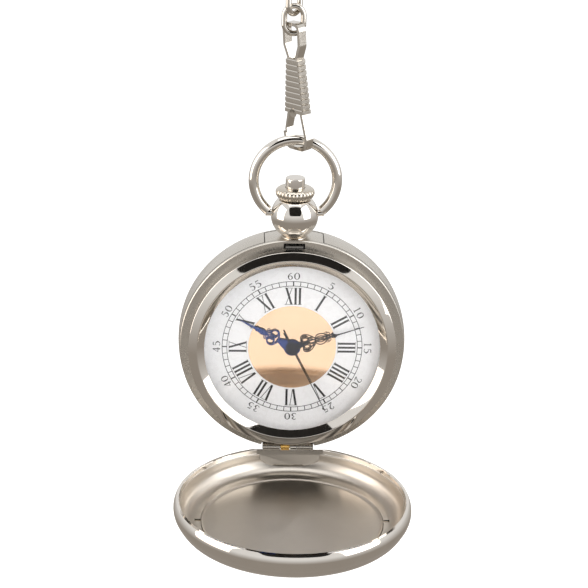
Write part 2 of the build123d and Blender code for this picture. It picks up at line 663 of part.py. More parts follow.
def winding_stem():
    """Stem from the crown to the movement, hollow and slotted above for the button's rod."""
    stem = rod_z(STEM_R, 5.0, 34.3)
    stem -= rod_z(ROD_R + 0.05, 24.4, 40)
    stem -= block(-1, 1, -0.32, 0.32, 24.6, 26.4)
    stem -= rod_z(2, 8.8, 9.1) - rod_z(0.55, 8, 10)
    return stem


def sliding_pinion():
    """Clutch pinion on the stem with face teeth at both ends."""
    groove = rod_z(2, 7.4, 7.8) - rod_z(0.85, 7, 8)
    pinion = rod_z(0.92, 6.6, 8.6) - groove
    for i in range(6):
        cut = block(-2, 2, -0.08, 0.08, 8.45, 9) + block(-2, 2, -0.08, 0.08, 6, 6.75)
        pinion -= Rot(0, 0, i * 30) * cut
    return pinion - rod_z(STEM_R + 0.03, 5, 10)


def crown_button():
    """Push button cap on a thin rod."""
    cap = turned_z([(0, 35.45), (BUTTON_R, 35.45), (BUTTON_R, BUTTON_TOP_Z - 0.3),
                    (BUTTON_R - 0.3, BUTTON_TOP_Z, BUTTON_R - 0.08, BUTTON_TOP_Z - 0.08), (0, BUTTON_TOP_Z)])
    rod = rod_z(ROD_R, 25.5, 35.6)
    return cap + rod - rod_x(0.22, -1, 1, 0, 25.9)


def button_collar():
    """Collar on the stem that presses the catch, pinned to the button's rod."""
    collar = rod_z(1.14, 23.6, 26.2) - rod_z(STEM_R + 0.05, 20, 30)
    return collar - rod_x(0.22, -2, 2, 0, 25.9)


def button_pin():
    """Cross pin through the rod and the collar."""
    return rod_x(0.22, -1.12, 1.12, 0, 25.9)


def button_washer():
    """Wave washer under the button, drawn at its pressed height."""
    return rod_z(1.95, 34.32, 34.57) - rod_z(1.0, 30, 40)


def bow():
    """Round wire bow with pins in the ball."""
    end_z = BOW_Z - sqrt(BOW_R ** 2 - BOW_END_X ** 2)
    path = ThreePointArc((-BOW_END_X, 0, end_z), (0, 0, BOW_Z + BOW_R), (BOW_END_X, 0, end_z))
    wire = sweep(Plane(origin=path @ 0, z_dir=path % 0) * Circle(BOW_WIRE_R), path)
    for side in (-1, 1):
        wire += rod_x(BOW_PIN_R, *sorted((side * 3.3, side * (BOW_END_X + 0.5))), 0, PIVOT_Z)
    return wire


# ---- clasp and chain ----
def hung(shape):
    """Place a clasp part drawn in (u, z) with the bow's wire centre as its origin."""
    return Pos(CLASP_X, 0, HOOK_Z) * Rot(0, -CLASP_LEAN, 0) * Rot(0, 0, CLASP_TURN - 90) * shape


def strip(points, width=STRIP_W, wall=STRIP_T):
    """Flat strip that follows a smooth path in the XZ plane."""
    path = FilletPolyline(*[(x, 0, z) for x, z, _ in points], radius=[r for _, _, r in points[1:-1]])
    section = Plane(origin=path @ 0, x_dir=(0, 1, 0), z_dir=path % 0)
    return sweep(section * Rectangle(width, wall), path)


def clasp_body():
    """Folded strip: eye, neck, hooked leg and the short end of the other leg."""
    half = STRIP_T / 2
    low = BOW_WIRE_R + 0.27 + half
    eye = EYE_TOP - half
    side = EYE_W / 2 - half
    leg = strip([
        (-1.05, 11.0, 0), (-1.0, 17.6, 1.5), (-side, 20.6, 1.5), (-side, eye, 1.3), (side, eye, 1.3),
        (side, 20.6, 1.5), (1.0, 17.6, 1.5), (1.95, 6.0, 4.0), (3.2, 0.6, 1.6), (2.6, -low, 1.4),
        (-2.9, -low, 1.3), (-3.55, 1.6, 0),
    ])
    return hung(leg)


def clasp_sleeve():
    """Ribbed tapered sleeve round both legs with a small thumb tab."""
    z0, z1 = SLEEVE_LOW, SLEEVE_HIGH
    half = SLEEVE_D / 2
    points = [(-SLEEVE_LOW_W / 2, z0), (SLEEVE_LOW_W / 2, z0)]
    pitch = (z1 - z0) / RIBS
    right = []
    for i in range(RIBS):
        foot = z0 + i * pitch
        share = (foot - z0) / (z1 - z0)
        edge = (SLEEVE_LOW_W + (SLEEVE_HIGH_W - SLEEVE_LOW_W) * share) / 2
        right += [(edge, foot + 0.12), (edge, foot + pitch - 0.32), (edge - 0.22, foot + pitch - 0.2),
                  (edge - 0.22, foot + pitch)]
    outer = right + [(-x, z) for x, z in reversed(right)]
    body = extrude(make_face(Plane.XZ * Polyline(*outer, close=True)), half, both=True)
    hollow = [(-SLEEVE_LOW_W / 2 + 0.55, z0 - 1), (SLEEVE_LOW_W / 2 - 0.55, z0 - 1),
              (SLEEVE_HIGH_W / 2 - 0.32, z1 + 1), (-SLEEVE_HIGH_W / 2 + 0.32, z1 + 1)]
    body -= extrude(make_face(Plane.XZ * Polyline(*hollow, close=True)), half - 0.25, both=True)
    body += rod_y(0.95, -half, -half + 0.25, -0.3, z0 + 0.1)
    return hung(body - rod_y(RIVET_R, -9, 9, *RIVET))


RIVET = (-1.75, 7.75)
RIVET_R = 0.2


def clasp_gate():
    """Sprung gate that closes the hook, hinged inside the sleeve."""
    points = [(-1.98, 8.15), (-1.5, 8.15), (-1.4, 7.6), (-1.6, 6.0), (-2.75, 2.4), (-2.65, 1.25),
              (-3.1, 1.25), (-3.25, 2.2), (-2.25, 6.0), (-2.1, 7.6)]
    gate = extrude(make_face(Plane.XZ * Polyline(*points, close=True)), STRIP_W / 2, both=True)
    return hung(gate - rod_y(RIVET_R + 0.02, -4, 4, *RIVET))


def clasp_rivet():
    """Rivet that the gate turns on."""
    return hung(rod_y(RIVET_R, -SLEEVE_D / 2 - 0.05, SLEEVE_D / 2 + 0.05, *RIVET))


def oval_link(width, height, turn, z):
    """Closed oval link of round wire, drawn in a vertical plane."""
    radius = width / 2 - LINK_WIRE_R
    reach = height / 2 - LINK_WIRE_R - radius
    path = Plane.XZ * SlotOverall(2 * (radius + reach), 2 * radius, rotation=90).wire()
    link = sweep(Plane(origin=path @ 0, z_dir=path % 0) * Circle(LINK_WIRE_R), path)
    return Pos(CHAIN_X, 0, z) * Rot(0, 0, turn) * link


def main():
    """Build every part and write it."""
    os.makedirs("parts", exist_ok=True)
    save("mid_case", mid_case())
    save("case_hinge_knuckles", hinge_knuckles())
    save("bezel", bezel())
    save("crystal", crystal())
    save("crystal_gasket", crystal_gasket())
    save("rear_cover", rear_cover())
    save("back_gasket", back_gasket())
    save("front_cover", opened(cover_shell()))
    save("front_cover_plate", opened(cover_plate()))
    save("front_cover_knuckle", opened(cover_knuckle()))
    save("hinge_pin", hinge_pin())
    save("hinge_spring", hinge_spring())
    save("dial_plate", dial_plate())
    save("dial_center_disc", dial_disc())
    save("hour_hand", hour_hand())
    save("minute_hand", minute_hand())
    save("second_hand", second_hand())
    save("movement_ring", movement_ring())
    save("main_plate", main_plate())
    save("train_bridge", train_bridge())
    save("movement_screws", *movement_screws())
    save("battery", battery())
    save("battery_clamp", battery_clamp())
    save("circuit_board", circuit_board())
    save("quartz_can", quartz_can())
    core, winding = coil()
    save("coil_core", core)
    save("coil_winding", winding - core)
    save("stator", stator())
    for name, wheel in train().items():
        save(name, wheel)
    save("setting_lever", setting_lever())
    save("yoke", yoke())
    save("latch_spring", latch_spring())
    save("latch_screw", latch_screw())
    save("pendant", pendant())
    save("pendant_tube", pendant_tube())
    save("bow", bow())
    save("crown", crown())
    save("winding_stem", winding_stem())
    save("sliding_pinion", sliding_pinion())
    save("crown_button", crown_button())
    save("button_collar", button_collar())
    save("button_pin", button_pin())
    save("button_washer", button_washer())
    save("clasp_body", clasp_body())
    save("clasp_sleeve", clasp_sleeve())
    save("clasp_gate", clasp_gate())
    save("clasp_rivet", clasp_rivet())
    save("chain_ring", oval_link(RING_W, RING_H, 0, RING_Z))
    for i in range(3):
        turn = LINK_TURN - 90 * (i % 2)
        save(f"chain_link_{i + 1}", oval_link(LINK_W, LINK_H, turn, LINK_1_Z + i * CHAIN_PITCH))


if __name__ == "__main__":
    main()
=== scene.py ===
import sys
import json
import logging
from dataclasses import dataclass, field
from enum import Enum
from math import cos, hypot, pi, radians, sin, sqrt
from typing import Callable, Sequence

import bmesh
import bpy
from mathutils import Matrix, Vector


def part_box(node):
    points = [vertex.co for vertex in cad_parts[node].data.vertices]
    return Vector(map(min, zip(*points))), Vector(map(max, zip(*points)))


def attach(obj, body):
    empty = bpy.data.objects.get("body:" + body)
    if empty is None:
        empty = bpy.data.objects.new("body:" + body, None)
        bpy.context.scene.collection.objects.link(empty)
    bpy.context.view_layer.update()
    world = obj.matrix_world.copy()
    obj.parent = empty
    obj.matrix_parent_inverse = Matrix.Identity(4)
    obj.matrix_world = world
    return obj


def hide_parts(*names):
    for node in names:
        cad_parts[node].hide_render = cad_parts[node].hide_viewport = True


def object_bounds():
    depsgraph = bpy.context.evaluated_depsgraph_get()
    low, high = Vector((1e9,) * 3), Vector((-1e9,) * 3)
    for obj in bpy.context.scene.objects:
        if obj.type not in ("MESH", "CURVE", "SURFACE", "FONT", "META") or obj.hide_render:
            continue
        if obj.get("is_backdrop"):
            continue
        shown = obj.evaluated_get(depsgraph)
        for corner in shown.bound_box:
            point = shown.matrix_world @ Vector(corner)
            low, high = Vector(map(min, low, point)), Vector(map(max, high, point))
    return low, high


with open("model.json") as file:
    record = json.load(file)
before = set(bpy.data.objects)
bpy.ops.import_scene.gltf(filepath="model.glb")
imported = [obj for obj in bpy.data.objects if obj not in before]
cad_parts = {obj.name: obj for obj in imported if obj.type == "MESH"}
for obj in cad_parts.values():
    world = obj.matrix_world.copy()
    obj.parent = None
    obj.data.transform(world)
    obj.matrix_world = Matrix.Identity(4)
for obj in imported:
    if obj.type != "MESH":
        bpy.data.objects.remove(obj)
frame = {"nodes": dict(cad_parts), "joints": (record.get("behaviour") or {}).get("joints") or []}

Point = tuple[float, float, float]
Flat = tuple[float, float]

MM = 0.001
log = logging.getLogger("pocket_watch")


def joint_place(name: str) -> Vector:
    """Place of a joint of the record.

    Args:
        name: the joint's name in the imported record.

    Returns:
        The joint's position in metres.
    """
    return next(Vector(j["pos_m"]) for j in frame["joints"] if j["name"] == name)


WATCH = Vector((joint_place("seconds_turn").x, 0.0, joint_place("seconds_turn").z))


def metres(point: Sequence[float]) -> Vector:
    """Point of the watch's own frame, in mm, as a point of the shared frame in metres."""
    return WATCH + Vector(point) * MM


def linear(colour: str) -> tuple[float, float, float, float]:
    """sRGB hex colour as the linear colour that the shaders work in.

    Args:
        colour: six hex digits after a hash.

    Returns:
        Red, green, blue and alpha, linear.
    """
    parts = [int(colour[i:i + 2], 16) / 255 for i in (1, 3, 5)]
    values = [c / 12.92 if c <= 0.04045 else ((c + 0.055) / 1.055) ** 2.4 for c in parts]
    return values[0], values[1], values[2], 1.0


# ---------------------------------------------------------------- finishes
STAIN_MM = 6.0        # width of a faint stain on plated metal
POLISH_MM = 2.5       # width of an uneven spot in the glass's polish
HAIRLINE_MM = 0.0004  # depth of a hairline scratch


def add(tree: bpy.types.NodeTree, kind: str, inputs: dict | None = None, **settings: object) -> bpy.types.Node:
    """Add a node with its settings, values and links.

    Args:
        tree: the node tree to add to.
        kind: the node's type name.
        inputs: value or linked socket for each input, by name or index.
        settings: properties of the node.

    Returns:
        The new node.
    """
    made = tree.nodes.new(kind)
    for key, value in settings.items():
        setattr(made, key, value)
    for key, value in (inputs or {}).items():
        if isinstance(value, bpy.types.NodeSocket):
            tree.links.new(value, made.inputs[key])
        else:
            made.inputs[key].default_value = value
    return made


class Finish:
    """Finish of a real surface, made into a material once for each name."""

    name: str

    def wire(self, tree: bpy.types.NodeTree, shader: bpy.types.Node) -> None:
        """Feed the shader; each kind of finish does this in its own way.

        Args:
            tree: the material's node tree.
            shader: its Principled shader.
        """
        raise NotImplementedError

    def build(self) -> bpy.types.Material:
        """Make the material, or find the one of that name.

        Returns:
            The material.
        """
        known = bpy.data.materials.get(self.name)
        if known:
            return known
        made = bpy.data.materials.new(self.name)
        made.use_nodes = True
        self.wire(made.node_tree, made.node_tree.nodes["Principled BSDF"])
        return made


class Lay(Enum):
    """Direction in which the tool marks of a metal surface run."""

    NONE = (0.0, 0.0, 0.0)
    TURNED_Y = (1.0, 0.0, 1.0)
    TURNED_Z = (1.0, 1.0, 0.0)
    LENGTHWISE = (1.0, 1.0, 0.08)


@dataclass(frozen=True)
class Metal(Finish):
    """Metal with tool marks, fine scratches and slight staining.

    Args of the fields: colour and stain are hex colours, pitch_mm the spacing of the tool marks,
    depth_mm their height, scratch_mm the spacing of the handling scratches.
    """

    name: str
    colour: str
    stain: str
    roughness: float
    spread: float = 0.04
    lay: Lay = Lay.NONE
    centre: Point = (0.0, 0.0, 0.0)
    pitch_mm: float = 0.15
    depth_mm: float = 0.0
    scratch_mm: float = 0.8
    anisotropy: float = 0.0

    def wire(self, tree: bpy.types.NodeTree, shader: bpy.types.Node) -> None:
        """Stained metal colour, scratches in the roughness, tool marks in the bump."""
        shader.inputs["Metallic"].default_value = 1.0
        shader.inputs["Anisotropic"].default_value = self.anisotropy
        place = add(tree, "ShaderNodeTexCoord").outputs["Object"]
        at = add(tree, "ShaderNodeVectorMath", {0: place, 1: metres(self.centre)}, operation="SUBTRACT").outputs[0]
        spot = add(tree, "ShaderNodeTexNoise", {"Vector": at, "Scale": 1 / (STAIN_MM * MM), "Detail": 4.0})
        rub = add(tree, "ShaderNodeTexNoise", {"Vector": at, "Scale": 1 / (self.scratch_mm * MM), "Detail": 6.0,
                                               "Roughness": 0.65})
        tint = add(tree, "ShaderNodeMix", {0: spot.outputs["Fac"], 6: linear(self.colour), 7: linear(self.stain)},
                   data_type="RGBA")
        tree.links.new(tint.outputs[2], shader.inputs["Base Color"])
        rough = add(tree, "ShaderNodeMapRange", {0: rub.outputs["Fac"], 1: 0.35, 2: 0.75,
                                                 3: max(0.0, self.roughness - self.spread / 2),
                                                 4: self.roughness + self.spread})
        tree.links.new(rough.outputs[0], shader.inputs["Roughness"])
        if self.lay is Lay.NONE:
            height, tall = rub.outputs["Fac"], self.depth_mm or HAIRLINE_MM
        else:
            across = add(tree, "ShaderNodeVectorMath", {0: at, 1: self.lay.value}, operation="MULTIPLY").outputs[0]
            if self.lay is Lay.LENGTHWISE:
                marks = add(tree, "ShaderNodeTexNoise", {"Vector": across, "Scale": 1 / (self.pitch_mm * MM),
                                                         "Detail": 3.0})
            else:
                reach = add(tree, "ShaderNodeVectorMath", {0: across}, operation="LENGTH").outputs["Value"]
                marks = add(tree, "ShaderNodeTexNoise", {"W": reach, "Scale": 1 / (self.pitch_mm * MM),
                                                         "Detail": 3.0}, noise_dimensions="1D")
            height, tall = marks.outputs["Fac"], self.depth_mm
        bump = add(tree, "ShaderNodeBump", {"Height": height, "Strength": 1.0, "Distance": tall * MM})
        tree.links.new(bump.outputs[0], shader.inputs["Normal"])
        if self.anisotropy and self.lay in (Lay.TURNED_Y, Lay.TURNED_Z):
            axis = "Y" if self.lay is Lay.TURNED_Y else "Z"
            tangent = add(tree, "ShaderNodeTangent", direction_type="RADIAL", axis=axis)
            tree.links.new(tangent.outputs[0], shader.inputs["Tangent"])


@dataclass(frozen=True)
class Coat(Finish):
    """Enamel, ink, plastic, rubber or another surface that isn't bare metal."""

    name: str
    colour: str
    stain: str
    roughness: float
    grain_mm: float = 0.6
    depth_mm: float = 0.001
    ior: float = 1.5
    gloss: float = 0.0

    def wire(self, tree: bpy.types.NodeTree, shader: bpy.types.Node) -> None:
        """Grain in the colour, the roughness and the bump, under a clear gloss."""
        shader.inputs["IOR"].default_value = self.ior
        shader.inputs["Coat Weight"].default_value = self.gloss
        shader.inputs["Coat Roughness"].default_value = 0.04
        place = add(tree, "ShaderNodeTexCoord").outputs["Object"]
        grain = add(tree, "ShaderNodeTexNoise", {"Vector": place, "Scale": 1 / (self.grain_mm * MM), "Detail": 5.0})
        tint = add(tree, "ShaderNodeMix", {0: grain.outputs["Fac"], 6: linear(self.colour), 7: linear(self.stain)},
                   data_type="RGBA")
        tree.links.new(tint.outputs[2], shader.inputs["Base Color"])
        rough = add(tree, "ShaderNodeMapRange", {0: grain.outputs["Fac"], 1: 0.3, 2: 0.7,
                                                 3: self.roughness * 0.85, 4: self.roughness * 1.15})
        tree.links.new(rough.outputs[0], shader.inputs["Roughness"])
        bump = add(tree, "ShaderNodeBump", {"Height": grain.outputs["Fac"], "Strength": 1.0,
                                            "Distance": self.depth_mm * MM})
        tree.links.new(bump.outputs[0], shader.inputs["Normal"])


@dataclass(frozen=True)
class MineralGlass(Finish):
    """Ground and polished mineral glass, clear, with a faint unevenness of polish."""

    name: str = "polished_mineral_glass"

    def wire(self, tree: bpy.types.NodeTree, shader: bpy.types.Node) -> None:
        """Clear transmission with a slightly uneven polish."""
        shader.inputs["Base Color"].default_value = linear("#ffffff")
        shader.inputs["IOR"].default_value = 1.52
        shader.inputs["Transmission Weight"].default_value = 1.0
        place = add(tree, "ShaderNodeTexCoord").outputs["Object"]
        polish = add(tree, "ShaderNodeTexNoise", {"Vector": place, "Scale": 1 / (POLISH_MM * MM), "Detail": 3.0})
        rough = add(tree, "ShaderNodeMapRange", {0: polish.outputs["Fac"], 1: 0.4, 2: 0.7, 3: 0.0, 4: 0.012})
        tree.links.new(rough.outputs[0], shader.inputs["Roughness"])


COVER_AXIS: Point = (0.0, -24.2, -24.2)

# bright nickel plate buffed on a wheel: a warm white mirror with a few hairlines
POLISHED_NICKEL = Metal("buffed_nickel_plate", "#e5e0d9", "#dad4cc", 0.045, 0.03, scratch_mm=0.5, depth_mm=0.0002)
# nickel plate over a turned and satined case: soft concentric streaks
SATIN_CASE = Metal("satin_nickel_case", "#cfcac2", "#c6c0b7", 0.27, 0.03, Lay.TURNED_Y, (0.0, 0.0, 0.0), 0.3,
                   0.0006, 2.5, 0.5)
# inside of the cover, turned and lightly satined: wide soft bands of light
SATIN_COVER = Metal("satin_nickel_cover_inside", "#cdc6bd", "#c4bdb3", 0.29, 0.03, Lay.TURNED_Z, COVER_AXIS, 0.35,
                    0.0006, 2.5, 0.55)
# crown knurl, tumbled: soft glitter on the flutes
TUMBLED_NICKEL = Metal("tumbled_nickel", "#d8d1c6", "#c6beb1", 0.17, 0.08, scratch_mm=0.3, depth_mm=0.001)
# drawn nickel wire of chain and clasp, barrel polished
WIRE_NICKEL = Metal("barrelled_nickel_wire", "#dcd7cf", "#cdc7be", 0.08, 0.05, scratch_mm=0.35, depth_mm=0.0006)
# rose-gold plate on a lapped disc: a clear warm mirror
ROSE_GOLD = Metal("lapped_rose_gold", "#e6c5a6", "#dfba98", 0.06, 0.02, scratch_mm=0.4, depth_mm=0.0002)
# heat-blued steel: deep blue with a violet cast where the oxide is thinner
BLUED_STEEL = Metal("heat_blued_steel", "#2a4a86", "#262c66", 0.24, 0.06, scratch_mm=0.8, depth_mm=0.0006)
# blued steel darkened to almost black: a painted dark reflection on the fine wire of the minute and seconds hands
DARK_REFLECTION_BLUED_STEEL = Metal("blued_steel_painted_dark_reflection", "#0d1122", "#0a0c18", 0.24, 0.06, scratch_mm=0.8, depth_mm=0.0006)
# rolled nickel-silver strip of the movement, with grain along the strip
MOVEMENT_NICKEL = Metal("rolled_nickel_silver", "#c9c6bd", "#b8b4a9", 0.28, 0.08, Lay.LENGTHWISE, pitch_mm=0.1,
                        depth_mm=0.001)
WHEEL_BRASS = Metal("cut_brass", "#d8b25e", "#c79e4c", 0.25, 0.08, Lay.TURNED_Y, pitch_mm=0.08, depth_mm=0.0008)
HARD_STEEL = Metal("hardened_steel", "#a9a9a8", "#8f8f8e", 0.2, 0.08, scratch_mm=0.3, depth_mm=0.0006)
SPRING_BRASS = Metal("drawn_spring_brass", "#d3b06a", "#bf9953", 0.22, 0.08, scratch_mm=0.2, depth_mm=0.0008)
CELL_STEEL = Metal("pressed_cell_can", "#bdbdbb", "#a8a8a5", 0.22, 0.06, scratch_mm=0.4, depth_mm=0.0008)
COPPER_WIRE = Metal("enamelled_copper_wire", "#b4622f", "#9a4f24", 0.3, 0.08, Lay.LENGTHWISE, pitch_mm=0.07,
                    depth_mm=0.004)
# fired white dial enamel: faint orange peel under a clear gloss
DIAL_ENAMEL = Coat("fired_white_enamel", "#fbfbfc", "#f4f5f8", 0.28, 0.9, 0.0008, gloss=0.35)
PAD_INK = Coat("black_pad_ink", "#101114", "#1a1b1f", 0.42, 0.08, 0.0006)
MOULDED_PLASTIC = Coat("moulded_acetal", "#d9d7d0", "#cfccc4", 0.5, 0.3, 0.002)
NYLON_RING = Coat("clear_nylon", "#e6e4de", "#dcd9d2", 0.35, 0.3, 0.001)
RUBBER_RING = Coat("black_nitrile_rubber", "#1b1b1b", "#262626", 0.6, 0.2, 0.002)
BOARD = Coat("green_circuit_board", "#1d5a38", "#17492d", 0.4, 0.25, 0.002)
GLASS = MineralGlass()


# ---------------------------------------------------------------- outlines
def rounded(corners: Sequence[Point], steps: int = 5, closed: bool = True) -> list[Flat]:
    """Outline whose corners are rounded.

    Args:
        corners: (a, b, rounding in mm) of each corner.
        steps: pieces in each rounding.
        closed: whether the last corner joins the first.

    Returns:
        The outline's points.
    """
    out: list[Flat] = []
    count = len(corners)
    for i, (a, b, size) in enumerate(corners):
        here = Vector((a, b))
        if size <= 0 or (not closed and i in (0, count - 1)):
            out.append((a, b))
            continue
        back = Vector(corners[i - 1][:2]) - here
        ahead = Vector(corners[(i + 1) % count][:2]) - here
        reach = min(size, 0.48 * back.length, 0.48 * ahead.length)
        start, end = here + back.normalized() * reach, here + ahead.normalized() * reach
        for k in range(steps + 1):
            t = k / steps
            spot = start * (1 - t) ** 2 + here * 2 * t * (1 - t) + end * t ** 2
            out.append((spot.x, spot.y))
    return out


def arc(start: Flat, middle: Flat, end: Flat, steps: int) -> list[Flat]:
    """Points after start on the arc through three points.

    Args:
        start: where the arc starts.
        middle: a point that it passes.
        end: where it ends.
        steps: pieces in the arc.

    Returns:
        The arc's points without the first.
    """
    (ax, ay), (bx, by), (cx, cy) = start, middle, end
    d = 2 * (ax * (by - cy) + bx * (cy - ay) + cx * (ay - by))
    sa, sb, sc = ax * ax + ay * ay, bx * bx + by * by, cx * cx + cy * cy
    centre = Vector(((sa * (by - cy) + sb * (cy - ay) + sc * (ay - by)) / d,
                     (sa * (cx - bx) + sb * (ax - cx) + sc * (bx - ax)) / d))
    first = Vector(start) - centre
    turn = first.angle_signed(Vector(end) - centre)
    half = first.angle_signed(Vector(middle) - centre)
    if turn * half < 0 or abs(half) > abs(turn):
        turn -= 2 * pi * (1 if turn > 0 else -1)
    out = []
    for k in range(1, steps + 1):
        spot = centre + Matrix.Rotation(-turn * k / steps, 2) @ first
        out.append((spot.x, spot.y))
    return out


def cap(edge: Flat, centre_y: float, steps: int) -> list[Flat]:
    """Points from the axis out to an edge on a sphere centred on the axis.

    Args:
        edge: (radius, y) of the edge.
        centre_y: y where the sphere meets the axis.
        steps: pieces in the arc.

    Returns:
        The points, from the axis to the edge.
    """
    rise = edge[1] - centre_y
    ball = (edge[0] ** 2 + rise ** 2) / (2 * abs(rise))
    way = 1 if rise > 0 else -1
    out = []
    for k in range(steps + 1):
        r = edge[0] * k / steps
        out.append((r, centre_y + way * (ball - sqrt(ball ** 2 - r ** 2))))
    return out


# ---------------------------------------------------------------- meshes
SHARP_DEG = 32.0  # edges above this angle stay sharp


def new_object(name: str, points: Sequence[Vector], faces: Sequence[tuple[int, ...]]) -> bpy.types.Object:
    """Object with a mesh, linked to the scene.

    Args:
        name: name of the object and its mesh.
        points: the mesh's points, in metres in the shared frame.
        faces: the points of each face.

    Returns:
        The object.
    """
    mesh = bpy.data.meshes.new(name)
    mesh.from_pydata(points, [], faces)
    made = bpy.data.objects.new(name, mesh)
    bpy.context.scene.collection.objects.link(made)
    return made


def weld(mesh: bpy.types.Mesh) -> None:
    """Merge points that coincide, drop faces without area and turn the faces outwards."""
    work = bmesh.new()
    work.from_mesh(mesh)
    bmesh.ops.remove_doubles(work, verts=work.verts, dist=1e-7)
    bmesh.ops.dissolve_degenerate(work, edges=work.edges, dist=1e-8)
    bmesh.ops.recalc_face_normals(work, faces=work.faces)
    work.to_mesh(mesh)
    work.free()


class Workpiece:
    """Mesh being made, in millimetres in the watch's own frame."""

    def __init__(self, name: str) -> None:
        """Start an empty piece with its name."""
        self.name = name
        self.points: list[Point] = []
        self.faces: list[tuple[int, ...]] = []
        self.zones: list[int] = []

    def net(self, rows: Sequence[Sequence[Point]], zones: Sequence[int] | int = 0, ring: bool = True,
            loop: bool = False, ends: bool = False) -> None:
        """Add a net of quads.

        Args:
            rows: rows of points of equal length.
            zones: finish of the faces after each row, or one for all.
            ring: whether each row closes on itself.
            loop: whether the last row joins the first.
            ends: whether the first and last rows are closed with a face.
        """
        base, wide = len(self.points), len(rows[0])
        for row in rows:
            self.points.extend(row)
        for i in range(len(rows) if loop else len(rows) - 1):
            a, b = base + i * wide, base + (i + 1) % len(rows) * wide
            for j in range(wide if ring else wide - 1):
                k = (j + 1) % wide
                self.faces.append((a + j, a + k, b + k, b + j))
                self.zones.append(zones if isinstance(zones, int) else zones[i])
        if ends:
            last = base + (len(rows) - 1) * wide
            self.faces += [tuple(base + j for j in reversed(range(wide))), tuple(last + j for j in range(wide))]
            self.zones += [zones if isinstance(zones, int) else zones[0]] * 2

    def lathe(self, profile: Sequence[Flat], steps: int, zones: Sequence[int] | int = 0) -> None:
        """Turn a closed (radius, y) profile about the watch's axis."""
        rows = [[(r * sin(2 * pi * k / steps), y, r * cos(2 * pi * k / steps)) for k in range(steps)]
                for r, y in profile]
        self.net(rows, zones, loop=True)

    def lathe_z(self, profile: Sequence[Flat], steps: int,
                ripple: Callable[[float, float], float] | None = None) -> None:
        """Turn a closed (radius, z) profile about the vertical axis.

        Args:
            profile: the closed profile.
            steps: pieces round the axis.
            ripple: share of the radius at a turn and a height, for flutes.
        """
        rows = []
        for r, z in profile:
            row = []
            for k in range(steps):
                turn = 2 * pi * k / steps
                reach = r * (ripple(turn, z) if ripple else 1.0)
                row.append((reach * cos(turn), reach * sin(turn), z))
            rows.append(row)
        self.net(rows, loop=True)

    def sweep(self, path: Sequence[Point], section: Sequence[Flat], normal: Vector, closed: bool,
              widths: Sequence[float] | None = None) -> None:
        """Sweep a section along a path that lies in a plane.

        Args:
            path: the path's points.
            section: (in the plane, out of the plane) points of the section.
            normal: the plane's normal.
            closed: whether the path closes.
            widths: share of the section's width at each point of the path.
        """
        rows, count = [], len(path)
        for i, spot in enumerate(path):
            ahead = path[(i + 1) % count] if closed or i < count - 1 else path[i]
            behind = path[i - 1] if closed or i else path[i]
            run = (Vector(ahead) - Vector(behind)).normalized()
            side = normal.cross(run)
            wide = widths[i] if widths else 1.0
            rows.append([tuple(Vector(spot) + side * a * wide + normal * b) for a, b in section])
        self.net(rows, loop=closed, ends=not closed)

    def sheet(self, outline: Sequence[Flat], lift: Callable[[float, float, float], Point], low: float,
              high: float) -> None:
        """Flat plate with an outline.

        Args:
            outline: points of the outline, convex or not.
            lift: place of (a, b, height).
            low: height of its back.
            high: height of its front.
        """
        self.net([[lift(a, b, low) for a, b in outline], [lift(a, b, high) for a, b in outline]], ends=True)

    def raw(self, name: str = "cutter") -> bpy.types.Object:
        """Object with the bare mesh, as a cutter or to be finished."""
        return new_object(name, [metres(p) for p in self.points], self.faces)

    def build(self, body: str, slot: str, finishes: Sequence[Finish], replaces: Sequence[str] = (),
              sharp: float = SHARP_DEG) -> bpy.types.Object:
        """Make the object and tie it to its body.

        Args:
            body: the body that it rides on.
            slot: the record's slot of its finish; not used.
            finishes: the finish of each zone.
            replaces: the nodes that it stands for.
            sharp: angle in degrees above which an edge is sharp.

        Returns:
            The object.
        """
        made = self.raw(self.name)
        mesh = made.data
        mesh.polygons.foreach_set("material_index", self.zones)
        weld(mesh)
        for finish in finishes:
            mesh.materials.append(finish.build())
        smooth(mesh, sharp)
        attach(made, body)
        if replaces:
            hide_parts(*replaces)
        log.info("%s: %d faces, on %s", self.name, len(mesh.polygons), body)
        return made


def smooth(mesh: bpy.types.Mesh, sharp: float) -> None:
    """Shade a mesh smooth up to an angle in degrees."""
    mesh.shade_smooth()
    mesh.set_sharp_from_angle(angle=radians(sharp))


def carve(piece: bpy.types.Object, tool: bpy.types.Object, way: str) -> None:
    """Cut a piece with a tool, or join the tool to it, for good.

    Args:
        piece: the piece to change.
        tool: the object that cuts or is joined, which is used up.
        way: DIFFERENCE or UNION.
    """
    change = piece.modifiers.new("carve", "BOOLEAN")
    change.operation, change.object, change.solver = way, tool, "EXACT"
    bpy.context.view_layer.update()
    mesh = bpy.data.meshes.new_from_object(piece.evaluated_get(bpy.context.evaluated_depsgraph_get()))
    piece.modifiers.clear()
    old, piece.data = piece.data, mesh
    bpy.data.meshes.remove(old)
    bpy.data.objects.remove(tool)
    smooth(mesh, SHARP_DEG)


def brick(low: Point, high: Point) -> bpy.types.Object:
    """Cutting block between two corners, in mm in the watch's own frame."""
    (x0, y0, z0), (x1, y1, z1) = low, high
    corners = [(x, y, z) for x in (x0, x1) for y in (y0, y1) for z in (z0, z1)]
    sides = [(0, 1, 3, 2), (4, 6, 7, 5), (0, 4, 5, 1), (2, 3, 7, 6), (0, 2, 6, 4), (1, 5, 7, 3)]
    return new_object("cutter", [metres(c) for c in corners], sides)


def dress(finish: Finish, *nodes: str) -> None:
    """Give nodes of the frame their finish."""
    for name in nodes:
        piece = frame["nodes"][name]
        piece.data.materials.clear()
        piece.data.materials.append(finish.build())
        log.info("%s: %s", name, finish.name)


def circle(radius: float, steps: int) -> list[Flat]:
    """Round section."""
    return [(radius * cos(2 * pi * k / steps), radius * sin(2 * pi * k / steps)) for k in range(steps)]


